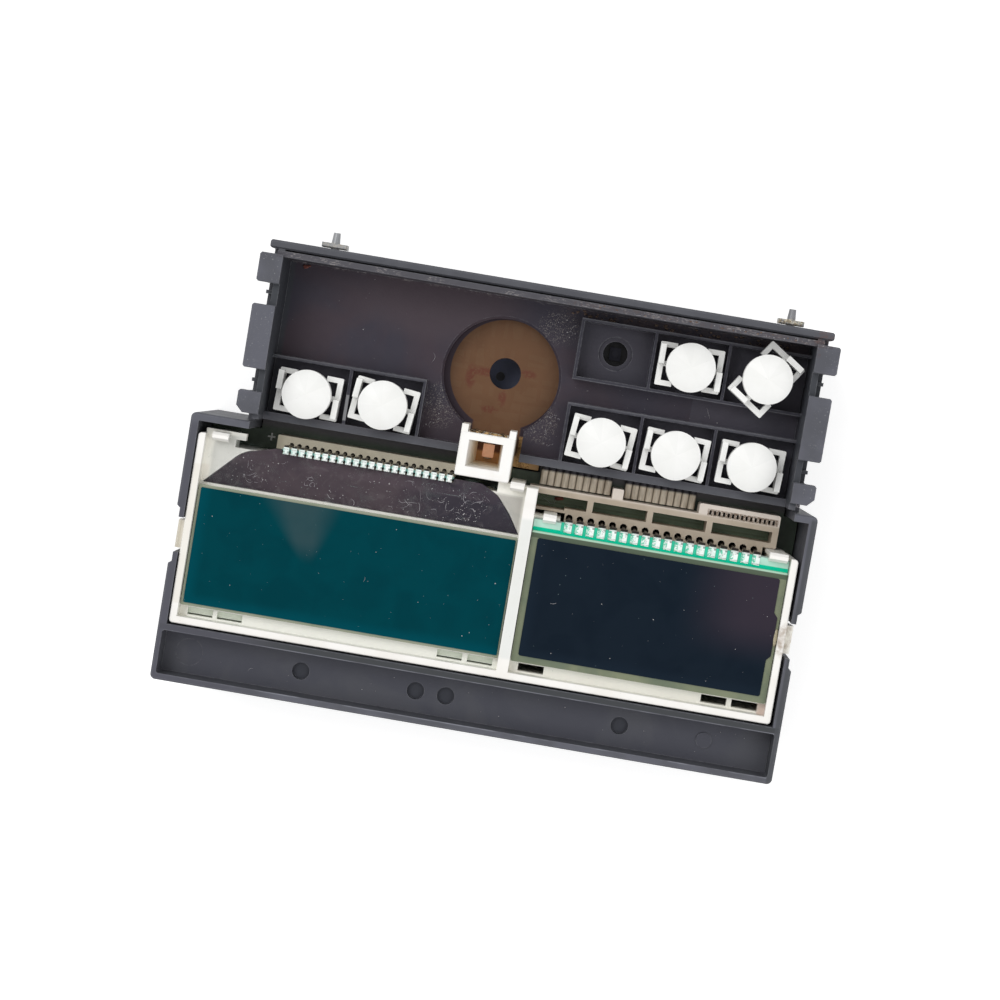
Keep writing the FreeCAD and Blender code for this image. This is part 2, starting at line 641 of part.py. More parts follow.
def housing():
    """Black front moulding: display bay, trim channel, tray, front plates and top rail."""
    lower = eased_front(rounded(BODY_X0, BODY_X1, 0, BODY_TOP, COVER_T, FRONT_Z, BODY_R), FRONT_Z, EDGE)
    upper = rounded(TRAY_X0, TRAY_X1, BODY_TOP - TRAY_OVERLAP, RAIL_Y1 - 0.5, COVER_T, TRAY_LEDGE_Z)
    shell = lower.fuse(upper)
    bay_x = BODY_X1 - BODY_WALL
    skirt_x0, skirt_x1 = TRAY_X0 + TRAY_SKIRT, TRAY_X1 - TRAY_SKIRT
    over = FRONT_Z + 1.0
    hollows = [
        rounded(-bay_x, bay_x, BAY_Y0, BODY_TOP - SHOULDER_WALL, COVER_T - 1.0, over),
        rounded(skirt_x0, skirt_x1, BAY_Y0 + TRAY_OVERLAP, TRAY_Y0, COVER_T - 1.0, over),
        rounded(skirt_x0, skirt_x1, BODY_TOP - TRAY_OVERLAP, RAIL_Y0, COVER_T - 1.0, TRAY_LEDGE_Z + 1.0),
        rounded(-bay_x, bay_x, BODY_WALL, BAY_Y0 + 1.0, COVER_T - 1.0, TROUGH_FLOOR_Z - TROUGH_FLOOR_T),
        rounded(BODY_X0 + TROUGH_WALL, BODY_X1 - TROUGH_WALL, TROUGH_LIP, TROUGH_TOP,
                TROUGH_FLOOR_Z, over, 0.6),
    ]
    shell = without(shell, hollows)

    rail = eased_front(rounded(TRAY_X0 - RAIL_OVERHANG, TRAY_X1 + RAIL_OVERHANG, RAIL_Y0, RAIL_Y1,
                               COVER_T, RAIL_Z, 0.6), RAIL_Z, EDGE)
    adds = [
        rounded(skirt_x0, skirt_x1, TRAY_Y0, RAIL_Y0, FLOOR_UNDER_Z, TRAY_FLOOR_Z),
        rounded(skirt_x0, skirt_x1, TRAY_Y0, TRAY_IN_Y0, FLOOR_UNDER_Z, TRAY_FLOOR_Z + TRAY_LIP_H),
        rounded(skirt_x0, TRAY_IN_X0, TRAY_Y0, RAIL_Y0, FLOOR_UNDER_Z, TRAY_WALL_Z),
        rounded(TRAY_IN_X1, skirt_x1, TRAY_Y0, RAIL_Y0, FLOOR_UNDER_Z, TRAY_WALL_Z),
        rounded(skirt_x0, skirt_x1, BAR_Y0, BAR_Y0 + BAR_T, FLOOR_UNDER_Z, BAR_Z),
        rounded(skirt_x0, skirt_x1, BAR_Y0, RAIL_Y0, FLOOR_UNDER_Z, GROOVE_Z),
        rail,
    ]
    for number, (y0, y1) in enumerate(PLATES_LEFT):
        adds += front_plate(-1, y0, y1, number == 0)
    for number, (y0, y1) in enumerate(PLATES_RIGHT):
        adds += front_plate(1, y0, y1, number == 0)
    for y in WALL_RIB_YS:
        for x0, x1 in ((TRAY_X0, skirt_x0 + 0.5), (skirt_x1 - 0.5, TRAY_X1)):
            adds.append(rounded(x0, x1, y, y + WALL_RIB_T, TRAY_LEDGE_Z - 0.5, TRAY_WALL_Z - 2.0))
    adds += cell_ribs()
    for x, y in upper_posts():
        adds.append(post(x, y, BOARD_TOP_Z, FLOOR_UNDER_Z + 0.5))
    adds.append(drum(BODY_X1 - GATE_MARK_IN, RAIL_HOLE_Y, TROUGH_FLOOR_Z - 0.5,
                     TROUGH_FLOOR_Z + GATE_MARK_H, GATE_MARK_R))
    shell = joined([shell] + adds)

    slot_x0, slot_x1 = BOX_X0 - SLOT_LEFT_GAP, BOX_X1 + SLOT_RIGHT_GAP
    dial = drum(DIAL_X, DIAL_Y, FLOOR_UNDER_Z - 1.0, FRONT_Z + 1.0, DIAL_R)
    bevel = Part.makeCone(DIAL_R, DIAL_R + DIAL_CHAMFER, DIAL_CHAMFER,
                          V(DIAL_X, DIAL_Y, TRAY_FLOOR_Z - DIAL_CHAMFER))
    cuts = [dial, bevel, rounded(slot_x0, slot_x1, TRAY_Y0 - 1.0, SLOT_TOP, FLOOR_UNDER_Z - 1.0, over)]
    for column, row in CELLS:
        x, y = cell_x(column), cell_y(row)
        cuts.append(prism(x, y, FLOOR_UNDER_Z - 1.0, over, CELL_HOLE_R, CELL_HOLE_SIDES))
        cuts.append(prism(x, y, TRAY_FLOOR_Z - CELL_SEAT_DEPTH, over, CELL_SEAT_R, CELL_HOLE_SIDES))
    for x in RAIL_HOLES_OUTER + RAIL_HOLES_INNER:
        cuts.append(drum(x, RAIL_HOLE_Y, TROUGH_FLOOR_Z - RAIL_HOLE_DEPTH, over, RAIL_HOLE_R))
    cuts.append(drum(BODY_X0 + SINK_MARK_IN, RAIL_HOLE_Y, TROUGH_FLOOR_Z - SINK_MARK_DEPTH, over,
                     SINK_MARK_R))
    for x in (PEG_LEFT_X, PEG_RIGHT_X):
        cuts.append(Part.makeCylinder(PEG_SHANK_R + PEG_SHANK_GAP, PEG_SHANK_DEPTH + 1.0,
                                      V(x, RAIL_Y1 - PEG_SHANK_DEPTH, PEG_Z), V(0, 1, 0)))
    cuts += notch_cutters(COVER_T - 1.0, over)
    return without(shell, cuts)


def rear_cover():
    """Closed back: a plate, a lip inside the housing's skirt, posts, vents and a socket window."""
    plate = slab(body_corners(0.0), 0, COVER_T)
    plate = eased_front(plate, 0.0, EDGE)
    edge = BODY_WALL + COVER_GAP
    lip_in = edge + COVER_LIP_T
    skirt = slab(body_corners(edge), COVER_T - 0.5, COVER_T + COVER_LIP_H)
    skirt = skirt.cut(slab(body_corners(lip_in), COVER_T - 1.0, COVER_T + COVER_LIP_H + 1.0))
    posts = [post(x, y, COVER_T - 0.5, BOARD_Z) for x, y in upper_posts() + lower_posts()]
    cover = joined([plate, skirt] + posts)
    cuts = notch_cutters(-1.0, COVER_T + COVER_LIP_H + 1.0)
    for number in range(VENT_COUNT):
        x = VENT_X0 + VENT_PITCH * number
        cuts.append(rounded(x, x + VENT_W, VENT_Y, VENT_Y + VENT_L, -1.0, COVER_T + 1.0))
    cuts.append(rounded(SOCKET_X0 - SOCKET_GAP, SOCKET_X0 + SOCKET_W + SOCKET_GAP,
                        SOCKET_Y0 - SOCKET_GAP, SOCKET_Y0 + SOCKET_D + SOCKET_GAP,
                        -1.0, COVER_T + 1.0, SOCKET_GAP))
    cuts.append(prism(DIMPLE_X, DIMPLE_Y, COVER_T - DIMPLE_DEPTH, COVER_T + 1.0, DIMPLE_R, DIMPLE_SIDES))
    return without(cover, cuts)


def display_board():
    """Green board under the two displays, with a tongue up to the tray's lower wall."""
    edge = BODY_X1 - BODY_WALL - BOARD_GAP
    shoulder = BODY_TOP - SHOULDER_WALL - BOARD_GAP
    seam = BOARD_SEAM_Y - BOARD_SEAM_GAP / 2
    tongue_x0, tongue_x1 = board_sides()
    notch = NOTCH_GAP / 2 + BOARD_NOTCH_EASE
    inner_x0, inner_x1 = CARRIER_X0 + CARRIER_BAR, CARRIER_X1 - CARRIER_BAR
    board = slab([
        (-edge, BAY_Y0 + BOARD_GAP, BOARD_R),
        (edge, BAY_Y0 + BOARD_GAP, BOARD_R),
        (edge, shoulder, BOARD_R),
        (tongue_x1, shoulder, 0),
        (tongue_x1, seam, 0),
        (tongue_x0, seam, 0),
        (tongue_x0, shoulder, 0),
        (-edge, shoulder, BOARD_R),
    ], BOARD_Z, BOARD_TOP_Z)
    below, above = BOARD_Z - 1.0, BOARD_TOP_Z + 1.0
    cuts = [
        rounded(-edge - 1.0, inner_x0, NOTCH_Y_LEFT - notch, NOTCH_Y_LEFT + notch, below, above),
        rounded(inner_x1, edge + 1.0, NOTCH_Y_RIGHT - notch, NOTCH_Y_RIGHT + notch, below, above),
        rounded(BOARD_TAB[0] - BOARD_SEAM_GAP, BOARD_TAB[1] + BOARD_SEAM_GAP,
                BOARD_TAB_Y - BOARD_SEAM_GAP, seam + 1.0, below, above),
    ]
    return without(board, cuts)


def board_sides():
    """Left and right edge of what fits inside the tray's skirt."""
    return TRAY_X0 + TRAY_SKIRT + BOARD_GAP, TRAY_X1 - TRAY_SKIRT - BOARD_GAP


def knob_board():
    """Brown board under the tray, with the hole for the knob's shaft and a tab for the light box."""
    x0, x1 = board_sides()
    seam = BOARD_SEAM_Y + BOARD_SEAM_GAP / 2
    board = rounded(x0, x1, seam, RAIL_Y0 - BOARD_GAP, BOARD_Z, BOARD_TOP_Z, BOARD_R)
    tab = rounded(BOARD_TAB[0], BOARD_TAB[1], BOARD_TAB_Y, seam + 1.0, BOARD_Z, BOARD_TOP_Z)
    shaft = drum(SHAFT_X, SHAFT_Y, BOARD_Z - 1.0, BOARD_TOP_Z + 1.0, SHAFT_R)
    return without(joined([board, tab]), [shaft])


def snap_lug(side, middle):
    """Ramped lug on the carrier's side that springs into the housing's notch."""
    wall = CARRIER_X0 if side < 0 else CARRIER_X1
    tip = wall + side * LUG_OUT
    root = wall - side * 0.5
    points = [(root, LUG_Z0), (wall, LUG_Z0), (tip, LUG_Z1 - LUG_RAMP), (tip, LUG_Z1 - LUG_EASE),
              (tip - side * LUG_EASE, LUG_Z1), (root, LUG_Z1)]
    return end_profile(points, middle - LUG_W / 2, middle + LUG_W / 2)


def latch(x0, x1, glass_edge):
    """Sprung hook: a stem behind the glass's top edge, with a sloped nose over it."""
    stem = glass_edge + PIN_EDGE_GAP
    nose = glass_edge - LATCH_NOSE
    under = REAR_GLASS_Z + LATCH_SEAT_GAP
    top = CARRIER_Z + LATCH_TOP
    points = [
        (stem, BOARD_TOP_Z),
        (stem + LATCH_STEM, BOARD_TOP_Z),
        (stem + LATCH_STEM, top - LATCH_BACK),
        (stem + LATCH_STEM - LATCH_BACK, top),
        (nose + LATCH_SLOPE, top),
        (nose, under + LATCH_BEAK),
        (nose, under),
        (stem, under),
    ]
    return side_profile(points, x0, x1)


def arch_corners():
    """Outline of the dark shield above the left display's picture, stepped back round the pins."""
    x0, x1 = LEFT_BAY_X0 + 0.4, DIVIDER_X0 - 0.1
    y0, y1 = SHIELD_Y0, SHIELD_TOP
    rise = y1 - y0
    clear = LEFT_PIN_W / 2 + SHIELD_PIN_GAP
    pins_x0 = LEFT_PIN_X0 - clear
    pins_x1 = LEFT_PIN_X0 + LEFT_PIN_PITCH * (LEFT_PIN_COUNT - 1) + clear
    jaw = LEFT_REAR_TOP - PIN_REACH_LEFT + PIN_JAW_STEP - SHIELD_PIN_GAP
    return [
        (x0, y0, 0),
        (x1, y0, 0),
        (x1 - SHIELD_RISE_RIGHT * 0.28, y0 + rise * 0.42, 5.0),
        (x1 - SHIELD_RISE_RIGHT * 0.60, y0 + rise * 0.78, 4.0),
        (x1 - SHIELD_RISE_RIGHT, y1, 3.0),
        (pins_x1, y1, 0),
        (pins_x1, jaw, 0),
        (pins_x0, jaw, 0),
        (pins_x0, y1, 0),
        (x0 + SHIELD_RISE_LEFT, y1, 4.0),
        (x0 + SHIELD_RISE_LEFT * 0.52, y0 + rise * 0.80, 8.0),
    ]


def from_side(side_x, inwards, pairs):
    """Turns distances counted inwards from a bay's side into places along X."""
    return [(side_x + inwards * near, side_x + inwards * far) for near, far in pairs]


def lcd_carrier():
    """White two-bay frame: walls on the board, glass seats, windows, pockets, latches and lugs."""
    left_end = LEFT_REAR_TOP - PIN_REACH_LEFT - PIN_CLEAR
    right_end = RIGHT_REAR_TOP - PIN_REACH_RIGHT - PIN_CLEAR
    cl, cr = CORNER_LEFT_W, CORNER_RIGHT_W
    plan = [
        (CARRIER_X0, CARRIER_Y0, CARRIER_R),
        (CARRIER_X1, CARRIER_Y0, CARRIER_R),
        (CARRIER_X1, CARRIER_TOP_RIGHT, CARRIER_R),
        (CARRIER_X1 - cr, CARRIER_TOP_RIGHT, 0),
        (CARRIER_X1 - cr, right_end, 0),
        (DIVIDER_X1 + cr, right_end, 0),
        (DIVIDER_X1 + cr, CARRIER_TOP_RIGHT, 0),
        (DIVIDER_X1, CARRIER_TOP_RIGHT, 0),
        (DIVIDER_X1, CARRIER_TOP_LEFT, 0),
        (DIVIDER_X0 - cl, CARRIER_TOP_LEFT, 0),
        (DIVIDER_X0 - cl, left_end, 0),
        (CARRIER_X0 + CARRIER_BAR + cl, left_end, 0),
        (CARRIER_X0 + CARRIER_BAR + cl, CARRIER_TOP_LEFT, 0),
        (CARRIER_X0, CARRIER_TOP_LEFT, CARRIER_R),
    ]
    block = eased_front(slab(plan, BOARD_TOP_Z, CARRIER_Z), CARRIER_Z, EDGE / 2)
    over = CARRIER_Z + 2.0
    low = BOARD_TOP_Z - 1.0
    wall = CARRIER_BAR
    bays = [
        (LEFT_BAY_X0, DIVIDER_X0, CARRIER_TOP_LEFT + 1.0),
        (DIVIDER_X1, RIGHT_BAY_X1, CARRIER_TOP_RIGHT + 1.0),
    ]
    cuts = [rounded(x0, x1, BAY_FLOOR_Y0, y1, SEAT_Z, over) for x0, x1, y1 in bays]
    chambers = [
        (LEFT_BAY_X0, DIVIDER_X0, left_end - wall),
        (DIVIDER_X1, RIGHT_BAY_X1, right_end - wall),
    ]
    for x0, x1, y1 in chambers:
        cuts.append(rounded(x0, x1, BAY_FLOOR_Y0, y1, low, SEAT_Z - SEAT_T))
    for x0, x1, y0, y1 in (left_window(), right_window()):
        cuts.append(rounded(x0, x1, y0, y1, low, over))
        step = DIFFUSER_STEP
        cuts.append(rounded(x0 - step, x1 + step, y0 - step, y1 + step, SEAT_Z - DIFFUSER_T, over))
    cuts.append(slab(arch_corners(), SEAT_Z - SHIELD_T, over))
    left_pockets = from_side(LEFT_BAY_X0, 1, POCKETS_LEFT_OUTER)
    left_pockets += from_side(DIVIDER_X0, -1, POCKETS_LEFT_INNER)
    for x0, x1 in left_pockets:
        cuts.append(rounded(x0, x1, POCKET_Y0, POCKET_Y1, SEAT_Z - POCKET_DEPTH, over))
        cuts.append(rounded(x0, x1, POCKET_Y0, POCKET_Y0 + POCKET_SLIT, low, over))
    right_pockets = from_side(DIVIDER_X1, 1, POCKETS_RIGHT_INNER)
    right_pockets += from_side(RIGHT_BAY_X1, -1, POCKETS_RIGHT_OUTER)
    for x0, x1 in right_pockets:
        cuts.append(rounded(x0, x1, POCKET_Y0, POCKET_Y1, low, over))
    cuts.append(rounded(DIVIDER_X0 - cl - 1.0, DIVIDER_X1 + 1.0, CARRIER_TOP_RIGHT + 0.05,
                        CARRIER_TOP_LEFT + 1.0, low, TIE_Z))
    cuts.append(rounded(CARRIER_X0 - 1.0, LEFT_BAY_X0 + cl + 1.0, left_end, CARRIER_TOP_LEFT + 1.0,
                        low, TIE_Z))
    frame = without(block, cuts)
    adds = [snap_lug(-1, NOTCH_Y_LEFT), snap_lug(1, NOTCH_Y_RIGHT)]
    for side_x, inwards, latch_ends, top in (
            (LEFT_BAY_X0, 1, LATCH_LEFT_OUTER, LEFT_REAR_TOP),
            (DIVIDER_X0, -1, LATCH_LEFT_INNER, LEFT_REAR_TOP),
            (DIVIDER_X1, 1, LATCH_RIGHT_INNER, RIGHT_REAR_TOP),
            (RIGHT_BAY_X1, -1, LATCH_RIGHT_OUTER, RIGHT_REAR_TOP)):
        x0, x1 = from_side(side_x, inwards, (latch_ends,))[0]
        adds.append(latch(x0, x1, top))
    flange_x0 = CARRIER_X0 + FLANGE_IN
    adds.append(rounded(flange_x0, flange_x0 + FLANGE_L, CARRIER_TOP_LEFT - 0.5, FLANGE_Y1,
                        SEAT_Z - SEAT_T, SEAT_Z))
    return joined([frame] + adds)


def left_window():
    """Light window under the left display's picture."""
    m = WINDOW_MARGIN
    return (LEFT_BAY_X0 + m, DIVIDER_X0 - m, GLASS_Y0 + m, LEFT_FRONT_TOP - m)


def right_window():
    """Light window under the right display's picture."""
    m = WINDOW_MARGIN + RIGHT_FILM_EDGE
    return (DIVIDER_X1 + m, RIGHT_BAY_X1 - m, GLASS_Y0 + m, RIGHT_FRONT_TOP - m)


def diffuser(window):
    """Milky sheet that lies in the step round a light window."""
    x0, x1, y0, y1 = window
    grow = DIFFUSER_STEP - DIFFUSER_GAP
    return rounded(x0 - grow, x1 + grow, y0 - grow, y1 + grow, SEAT_Z - DIFFUSER_T, SEAT_Z)


def glass(x0, x1, top, z0):
    """One sheet of a display, with its corners just broken."""
    return rounded(x0 + GLASS_GAP, x1 - GLASS_GAP, GLASS_Y0, top, z0, z0 + GLASS_T, 0.3)


def left_film():
    """Polarising film on the left display."""
    e = LEFT_FILM_EDGE
    return rounded(LEFT_BAY_X0 + GLASS_GAP + e, DIVIDER_X0 - GLASS_GAP - e / 2,
                   GLASS_Y0 + e, LEFT_FRONT_TOP - e, FRONT_GLASS_Z, FRONT_GLASS_Z + FILM_T, 0.3)


def right_film():
    """Polarising film on the right display, with the bulge beside the filling port."""
    e = RIGHT_FILM_EDGE
    x0, x1 = DIVIDER_X1 + GLASS_GAP + e, RIGHT_BAY_X1 - GLASS_GAP - e
    y0, y1 = GLASS_Y0 + e, RIGHT_FRONT_TOP - e
    return slab([
        (x0, y0, 0.5),
        (x1, y0, 0.5),
        (x1, BULGE_Y0 - 1.0, 0.6),
        (x1 + RIGHT_FILM_BULGE, BULGE_Y0, 0.6),
        (x1 + RIGHT_FILM_BULGE, BULGE_Y1, 0.6),
        (x1, BULGE_Y1 + 1.0, 0.6),
        (x1, y1, 0.5),
        (x0, y1, 0.5),
    ], FRONT_GLASS_Z, FRONT_GLASS_Z + FILM_T)


def shield():
    """Dark arch-shaped plate under the contact ledge of the left display."""
    face = Part.Face(outline(arch_corners(), SEAT_Z - SHIELD_T))
    return face.makeOffset2D(-SHIELD_GAP).extrude(V(0, 0, SHIELD_T))


def pin_row(x0, pitch, count, width, glass_edge, reach):
    """Clip pins: a jaw over and under the glass edge and a leg down to the board."""
    back = glass_edge + PIN_EDGE_GAP
    tip = glass_edge - reach
    low = SEAT_Z - PIN_T
    top = REAR_GLASS_Z + PIN_T
    jaw = [
        (tip, REAR_GLASS_Z), (back, REAR_GLASS_Z), (back, SEAT_Z), (tip + PIN_JAW_STEP, SEAT_Z),
        (tip + PIN_JAW_STEP, low),
        (back + PIN_T, low), (back + PIN_T, top - 0.2), (back + PIN_T - 0.2, top), (tip, top),
    ]
    pins = []
    for number in range(count):
        x = x0 + pitch * number
        clip = side_profile(jaw, x - width / 2, x + width / 2)
        leg = rounded(x - PIN_LEG_W / 2, x + PIN_LEG_W / 2, back, back + PIN_T, BOARD_TOP_Z, low)
        pins.append(clip.fuse(leg).removeSplitter())
    return Part.makeCompound(pins)


def left_strip():
    """Beige strip that guides the left display's pins."""
    strip = rounded(LEFT_STRIP_X0, LEFT_STRIP_X1, LEFT_PIN_Y - LEFT_HOLE_R - STRIP_BACK, LEFT_STRIP_Y1,
                    BOARD_TOP_Z, STRIP_TOP_Z)
    holes = [prism(LEFT_PIN_X0 + LEFT_PIN_PITCH * n, LEFT_PIN_Y, BOARD_TOP_Z - 1.0, STRIP_TOP_Z + 1.0,
                   LEFT_HOLE_R, HOLE_SIDES)
             for n in range(LEFT_PIN_COUNT)]
    return without(strip, holes)


def right_strip():
    """Beige frame with the right display's pin strip, four windows, a tongue and a slotted end."""
    y0 = RIGHT_PIN_Y - RIGHT_HOLE_R - STRIP_BACK
    z0, z1 = BOARD_TOP_Z, STRIP_TOP_Z
    plan = [
        (FRAME_X0, FRAME_FOOT_Y, 0),
        (RIGHT_STRIP_X0, FRAME_FOOT_Y, 0),
        (RIGHT_STRIP_X0, y0, 0),
        (RIGHT_BAR_X1, y0, 0.3),
        (RIGHT_BAR_X1, FRAME_FOOT_Y, 0),
        (RIGHT_STRIP_X1, FRAME_FOOT_Y, 0.3),
        (RIGHT_STRIP_X1, FRAME_RAISED_Y1, 0.5),
        (FRAME_RAISED_X0, FRAME_RAISED_Y1, 0.5),
        (FRAME_RAISED_X0, FRAME_Y1, 0),
        (TONGUE_X0 + FRAME_TONGUE_W, FRAME_Y1, 0),
        (TONGUE_X0 + FRAME_TONGUE_W, FRAME_RAISED_Y1, 0.3),
        (TONGUE_X0, FRAME_RAISED_Y1, 0.3),
        (TONGUE_X0, FRAME_Y1, 0),
        (FRAME_X0, FRAME_Y1, 0),
    ]
    body = slab(plan, z0, z1)
    cuts = [prism(RIGHT_PIN_X0 + RIGHT_PIN_PITCH * n, RIGHT_PIN_Y, z0 - 1.0, z1 + 1.0,
                  RIGHT_HOLE_R, HOLE_SIDES)
            for n in range(RIGHT_PIN_COUNT)]
    edges = [FRAME_X0 + FRAME_POST * 1.2]
    for share in FRAME_POSTS:
        middle = FRAME_X0 + (RIGHT_STRIP_X1 - FRAME_X0) * share
        edges += [middle - FRAME_POST / 2, middle + FRAME_POST / 2]
    edges.append(RIGHT_STRIP_X1 - FRAME_POST)
    for x0, x1 in zip(edges[0::2], edges[1::2]):
        cuts.append(rounded(x0, x1, RIGHT_STRIP_Y1, FRAME_Y1 - FRAME_BAR, z0 - 1.0, z1 + 1.0))
    cuts.append(rounded(edges[0], RIGHT_STRIP_X0 - 0.3, FRAME_FOOT_Y + FRAME_FOOT_T, RIGHT_STRIP_Y1 + 0.5,
                        z0 - 1.0, z1 + 1.0))
    for n in range(SLIT_COUNT):
        x = SLIT_X0 + SLIT_PITCH * n
        cuts.append(rounded(x, x + SLIT_W, SLIT_Y - SLIT_L / 2, SLIT_Y + SLIT_L / 2,
                            z1 - SLIT_DEPTH, z1 + 1.0))
    return without(body, cuts)


def jumper(x0):
    """Flat ribbon of side-by-side wires that bridges the seam between the boards."""
    z0 = BOARD_TOP_Z
    crest = z0 + JUMPER_BASE
    half = JUMPER_PITCH / 2
    start = V(x0, JUMPER_Y0, z0)
    edges = []
    at = V(x0, JUMPER_Y0, crest)
    edges.append(Part.LineSegment(start, at).toShape())
    for n in range(JUMPER_WIRES):
        x = x0 + JUMPER_PITCH * n
        peak = V(x + half, JUMPER_Y0, crest + JUMPER_RIDGE_H)
        end = V(x + JUMPER_PITCH, JUMPER_Y0, crest)
        edges.append(Part.Arc(at, peak, end).toShape())
        at = end
    corner = V(at.x, JUMPER_Y0, z0)
    edges.append(Part.LineSegment(at, corner).toShape())
    edges.append(Part.LineSegment(corner, start).toShape())
    ribbon = Part.Face(Part.Wire(edges)).extrude(V(0, JUMPER_Y1 - JUMPER_Y0, 0))
    arch = rounded(x0 - 1.0, at.x + 1.0, JUMPER_Y0 + JUMPER_FOOT, JUMPER_Y1 - JUMPER_FOOT,
                   z0 - 1.0, z0 + JUMPER_ARCH)
    return without(ribbon, [arch])


def rect_wire(x0, x1, y0, y1, z):
    """Plain rectangle as a closed wire."""
    return outline([(x0, y0, 0), (x1, y0, 0), (x1, y1, 0), (x0, y1, 0)], z)


def light_box():
    """White box with a well that narrows towards its light, and two ears."""
    body = eased_front(rounded(BOX_X0, BOX_X1, BOX_Y0, BOX_Y1, BOARD_TOP_Z, BOX_Z, 0.4), BOX_Z, EDGE / 2)
    ears = []
    for x0, x1 in ((BOX_X0, BOX_X0 + BOX_EAR_W), (BOX_X1 - BOX_EAR_W, BOX_X1)):
        ears.append(rounded(x0, x1, BOX_Y1 - 0.5, BOX_EAR_Y1, BOX_EAR_Z0, BOX_Z - BOX_EAR_DROP))
    ears.append(rounded(BOX_X0, BOX_X0 + BOX_FOOT_W, BOX_Y0 - BOX_FOOT_L, BOX_Y0 + 0.5,
                        BOARD_TOP_Z, STRIP_TOP_Z))
    body = joined([body] + ears)
    well_low = BOARD_TOP_Z + LED_H + BOX_PIT_GAP
    half = BOX_WELL / 2
    low = rect_wire(BOX_LED_X - half, BOX_LED_X + half, BOX_LED_Y - half, BOX_LED_Y + half, well_low)
    high = rect_wire(BOX_X0 + BOX_RIM_X, BOX_X1 - BOX_RIM_X - 0.4, BOX_Y0 + BOX_RIM_Y,
                     BOX_Y1 - BOX_RIM_Y + 0.5, BOX_Z + 0.01)
    funnel = Part.makeLoft([low, high], True, True)
    pit = rounded(BOX_LED_X - half, BOX_LED_X + half, BOX_LED_Y - half, BOX_LED_Y + half,
                  BOARD_TOP_Z - 1.0, well_low + 0.01)
    return without(body, [funnel, pit])


def led(x, y):
    """Surface-mounted light: a square body with a low round lens."""
    chip = rounded(x - LED_W / 2, x + LED_W / 2, y - LED_L / 2, y + LED_L / 2,
                   BOARD_TOP_Z, BOARD_TOP_Z + LED_H)
    lens = prism(x, y, BOARD_TOP_Z + LED_H - 0.2, BOARD_TOP_Z + LED_H + LED_LENS_H, LED_LENS_R,
                 LED_LENS_SIDES)
    return joined([chip, lens])


def light_guide(x, y, turn, lift):
    """Domed head, drum and stem, joined to a sprung frame of two brackets."""
    seat = TRAY_FLOOR_Z - CELL_SEAT_DEPTH
    dome_r = (HEAD_R ** 2 + HEAD_DOME ** 2) / (2 * HEAD_DOME)
    crown = HEAD_Z1 + HEAD_DOME
    ball = Part.makeSphere(dome_r, V(0, 0, crown - dome_r))
    head = drum(0, 0, HEAD_Z0, crown, HEAD_R).common(ball)
    stem = prism(0, 0, STEM_END_Z, seat, STEM_R, STEM_SIDES)
    body = joined([head, prism(0, 0, seat, HEAD_Z0, DRUM_R, DRUM_SIDES), stem])

    z0, z1, high = GUIDE_FRAME_Z0, GUIDE_FRAME_Z1, GUIDE_RAISED_Z
    half_l, half_w = GUIDE_HALF_L, GUIDE_HALF_W
    inner = half_l - GUIDE_ARM_L
    pieces = [body]
    for side in (-1, 1):
        bracket = slab([
            (side * half_l, -half_w, 0.3),
            (side * inner, -half_w, 0),
            (side * inner, -half_w + GUIDE_ARM, 0),
            (side * (half_l - GUIDE_BAR), -half_w + GUIDE_ARM, 0),
            (side * (half_l - GUIDE_BAR), -GUIDE_ARM / 2, 0),
            (side * (DRUM_R - 0.8), -GUIDE_ARM / 2, 0),
            (side * (DRUM_R - 0.8), GUIDE_ARM / 2, 0),
            (side * (half_l - GUIDE_BAR), GUIDE_ARM / 2, 0),
            (side * (half_l - GUIDE_BAR), half_w - GUIDE_ARM, 0),
            (side * inner, half_w - GUIDE_ARM, 0),
            (side * inner, half_w, 0),
            (side * half_l, half_w, 0.3),
        ], z0, z1)
        raised = slab([
            (side * half_l, -side * (half_w - GUIDE_ARM * 0.5), 0),
            (side * (half_l - GUIDE_BAR), -side * (half_w - GUIDE_ARM * 0.5), 0),
            (side * (half_l - GUIDE_BAR), 0, 0),
            (side * half_l, 0, 0),
        ], z1 - 0.5, high)
        pieces += [bracket, raised]
    guide = joined(pieces)
    guide.rotate(V(0, 0, 0), V(0, 0, 1), turn)
    guide.translate(V(x, y, lift))
    return guide


def peg(x):
    """Locating peg: a shank in the rail, a collar across it and a tapered tip."""
    collar_y = RAIL_Y1 + PEG_STANDOFF
    tip_y = collar_y + PEG_COLLAR_L
    shank = Part.makeCylinder(PEG_SHANK_R, PEG_SHANK_DEPTH + PEG_STANDOFF + 0.2,
                              V(x, RAIL_Y1 - PEG_SHANK_DEPTH, PEG_Z), V(0, 1, 0))
    collar = rounded(x - PEG_COLLAR_W / 2, x + PEG_COLLAR_W / 2, collar_y, tip_y,
                     PEG_Z - PEG_COLLAR_H / 2, PEG_Z + PEG_COLLAR_H / 2)
    collar = eased_front(collar, PEG_Z + PEG_COLLAR_H / 2, 0.25)
    tip = Part.makeCone(PEG_R0, PEG_R1, PEG_L, V(x, tip_y, PEG_Z), V(0, 1, 0))
    return joined([shank, collar, tip])


